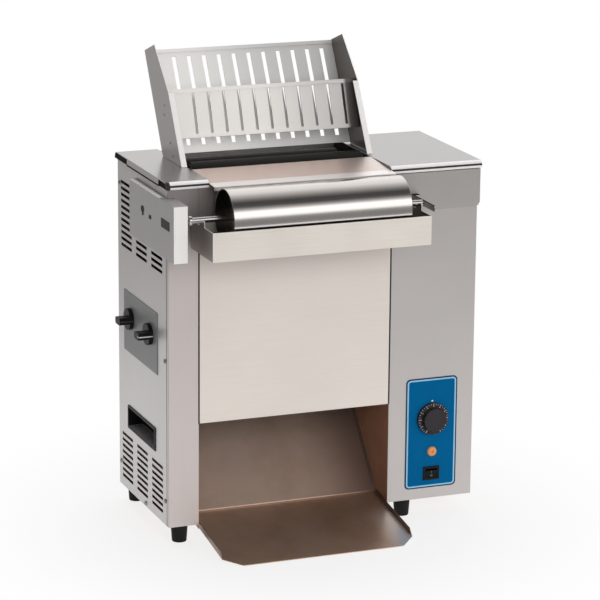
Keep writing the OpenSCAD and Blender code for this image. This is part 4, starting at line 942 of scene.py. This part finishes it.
CHEEK_GAP = 1.6
on_cabinet("cover_cheeks", POST, "left_top_cover",
           *(fitted((84, 9.2), at(x, 41, 581.7), facing, corner=3, thick=1)
             for x, facing in ((PLATE_LEFT - CHEEK_GAP, "right"), (PLATE_RIGHT + CHEEK_GAP, "left"))))

# Control overlay: its dark edge, pale line and index dot

OVERLAY_LOW, OVERLAY_HIGH = (Vector(c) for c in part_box("control_overlay"))
OVERLAY_EDGE = 2.2
overlay_middle = (OVERLAY_LOW + OVERLAY_HIGH) / 2
overlay_middle.y = OVERLAY_LOW.y
overlay_wide, overlay_high = ((OVERLAY_HIGH - OVERLAY_LOW) / MM).xz
line_size = (overlay_wide - 2 * OVERLAY_EDGE, overlay_high - 2 * OVERLAY_EDGE)
on_cabinet("overlay_edge", DEEP_BLUE, "control_overlay",
           fitted((overlay_wide, overlay_high), overlay_middle, "front",
                  corner=8, thick=0.15, rim=OVERLAY_EDGE))
on_cabinet("overlay_line", PALE_BLUE, "control_overlay",
           fitted(line_size, overlay_middle, "front", corner=6.4, thick=0.12, rim=2.6))
on_cabinet("dial_index_dot", WHITE, "control_overlay",
           fitted((3.6, 3.0), at(CONTROL_X, -0.8, 173.6), "front", corner=1.4, thick=0.15))

# Thermostat dial: ticks and plain numbers on its skirt

SKIRT_FRONT = -7.1
DIAL_SWEEP, TICK_STEPS, LAST_NUMBER = 300, 30, 10
TICK_RADIUS, NUMBER_RADIUS = 26.2 * MM, 23 * MM
NUMBER_HIGH, NUMBER_THICK = 3.6 * MM, 0.07 * MM


def dial_turn(step, steps):
    """The turn of a mark on the dial, in radians from the top."""
    return math.radians(DIAL_SWEEP / 2 - DIAL_SWEEP * step / steps)


def dial_marks():
    """Marks round the skirt, made with the dial's axis on the bench's own. Every third tick is a wide one."""
    marks = []
    tick = flat_plate(0.7, 2.4, corner=0.2, thick=0.15)
    tick.location = (0, TICK_RADIUS, 0)
    apply_place(tick)
    for step in range(TICK_STEPS + 1):
        mark = copy_of(tick)
        mark.rotation_euler = (0, 0, dial_turn(step, TICK_STEPS))
        if step % 3:
            mark.scale = (0.6, 1, 1)
        apply_place(mark)
        marks.append(mark)
    throw_away(tick)
    for number in range(LAST_NUMBER + 1):
        turn = dial_turn(number, LAST_NUMBER)
        clear_bench()
        bpy.ops.object.text_add()
        figure = bpy.context.object
        figure.data.body = str(number)
        figure.data.size = NUMBER_HIGH
        figure.data.align_x = "CENTER"
        figure.data.align_y = "CENTER"
        figure.data.extrude = NUMBER_THICK
        bpy.ops.object.convert(target="MESH")
        figure = bpy.context.object
        figure.location = (-math.sin(turn) * NUMBER_RADIUS, math.cos(turn) * NUMBER_RADIUS, NUMBER_THICK)
        figure.rotation_euler = (0, 0, turn)
        apply_place(figure)
        marks.append(figure)
    return joined(marks)


marks = set_on(dial_marks(), at(CONTROL_X, SKIRT_FRONT, DIAL_Z), "front")
hand_over(marks, "dial_marks", node_body["thermostat_dial"], WHITE, node_slot["thermostat_dial"])

# Rocker switch: the two plain marks on its leaning faces

on_mark = fitted((1.0, 4.0), at(CONTROL_X, -3.45, 47.2), "front", corner=0.3, thick=0.12, lean=15.1)
off_mark = fitted((4.2, 4.2), at(CONTROL_X, -2.55, 40.8), "front", corner=2.05, thick=0.12, rim=0.8, lean=0.9)
hand_over(joined([on_mark, off_mark]), "rocker_marks", node_body["switch_rocker"], GREY_MARK,
          node_slot["switch_rocker"])

# Conveyor knobs: the pointer line along each bar and over its end, and the plate's border line

KNOB_Z, KNOB_TIP, KNOB_RADIUS = 312, -27, 18.5
POINTER_WIDE, POINTER_SUNK = 1.9, 0.05
for knob, knob_y, finish in [("front_knob", 91.7, WHITE), ("rear_knob", 193.7, DARK_MARK)]:
    bar_end = knob_y - KNOB_RADIUS
    along = fitted((24.5, POINTER_WIDE), at(KNOB_TIP + 12.9, bar_end + POINTER_SUNK, KNOB_Z), "front",
                   corner=0.4, thick=0.2)
    across = fitted((5, POINTER_WIDE), at(KNOB_TIP + POINTER_SUNK, bar_end + 3.6, KNOB_Z), "left",
                    corner=0.4, thick=0.2)
    hand_over(joined([along, across]), knob + "_pointer", node_body[knob], finish, node_slot[knob])

on_cabinet("knob_plate_line", PLATE_LINE, "knob_plate",
           fitted((170, 99), at(-1.2, 142.7, 303), "left", corner=1.5, thick=0.12, rim=1.0))


# Studio: a pale floor, soft boxes and a plain room

FLOOR_WIDE, FLOOR_DROP = 2.6, 0.0005
FLOOR_NEAR, FLOOR_FAR = 0.25, 0.7
LAMP_AIM = Vector((0, 0, 0.4))
# Degrees round the room and how light it is there: 0 is level in front, 90 straight up, 180 level behind.
# A bright band stands in front, the ceiling is dark and the backdrop pale.
ROOM = [(-180, 0.9), (-100, 0.6), (-45, 0.25), (-8, 0.25), (2, 0.35), (10, 1.35), (28, 1.6), (38, 0.5),
        (50, 0.08), (68, 0.06), (80, 0.2), (100, 0.58), (114, 0.9), (150, 1.1), (180, 0.9)]


def studio_floor():
    """A floor that keeps the object's shadow and goes over into plain white further out."""
    clear_bench()
    bpy.ops.mesh.primitive_plane_add(size=FLOOR_WIDE, location=(0, 0, -FLOOR_DROP))
    floor = bpy.context.object
    floor.name = "studio_floor"
    apply_place(floor)
    f = Finish("studio_floor_paint", (0.86, 0.86, 0.86), rough=0.7)
    white = f.fade(f.distance(), FLOOR_NEAR, FLOOR_FAR, low=0.8, high=1.0)
    seen = f.rays("Is Camera Ray", "Is Glossy Ray", "Is Transmission Ray")
    glow = f.node("ShaderNodeEmission")
    mix = f.node("ShaderNodeMixShader", {}, {0: white * seen, 1: f.surface, 2: glow})
    f.join(f.tree.nodes["Material Output"].inputs[0], mix)
    dress(floor, f.material)


def studio_room():
    """The camera sees plain white. Metal mirrors the room, which is as pale as that behind the object."""
    world = bpy.data.worlds.new("studio")
    bpy.context.scene.world = world
    world.use_nodes = True
    w = Shader(world.node_tree)
    split = w.node("ShaderNodeSeparateXYZ", {}, {0: w.node("ShaderNodeTexCoord")}).socket.node.outputs
    side, deep, high = (Value(w, split[axis]) for axis in "XYZ")
    angle = w.node("ShaderNodeMath", {"operation": "ARCTAN2"}, {0: high, 1: deep * -1})
    stops = [((degrees + 180) / 360, (level, level * 0.985, level * 0.97, 1)) for degrees, level in ROOM]
    room = w.node("ShaderNodeValToRGB", {"stops": stops}, {0: angle / math.tau + 0.5})
    dimmed_left = w.blend(w.fade(side, -0.5, -0.05, low=0.6, high=0.0), room, (0, 0, 0, 1))
    seen = w.rays("Is Camera Ray", "Is Transmission Ray")
    walls = w.node("ShaderNodeBackground", {}, {0: dimmed_left})
    white = w.node("ShaderNodeBackground", {}, {0: (1, 1, 1, 1)})
    mix = w.node("ShaderNodeMixShader", {}, {0: seen, 1: walls, 2: white})
    w.node("ShaderNodeOutputWorld", {}, {0: mix})


def soft_box(name, place, wide, high, power):
    """A lamp that metal doesn't mirror, because the room has its own bright band."""
    lamp = bpy.data.lights.new(name, "AREA")
    lamp.shape = "RECTANGLE"
    lamp.size = wide
    lamp.size_y = high
    lamp.energy = power
    box = bring_in(name, lamp)
    box.location = place
    box.rotation_euler = (LAMP_AIM - Vector(place)).to_track_quat("-Z", "Y").to_euler()
    box.visible_glossy = False


studio_floor()
studio_room()
soft_box("front_box", place=(0.5, -6.5, 2.6), wide=6.0, high=3.6, power=170)
soft_box("top_box", place=(0.2, 0.5, 3.4), wide=3.0, high=2.2, power=32)
bpy.context.scene.view_settings.view_transform = "Standard"
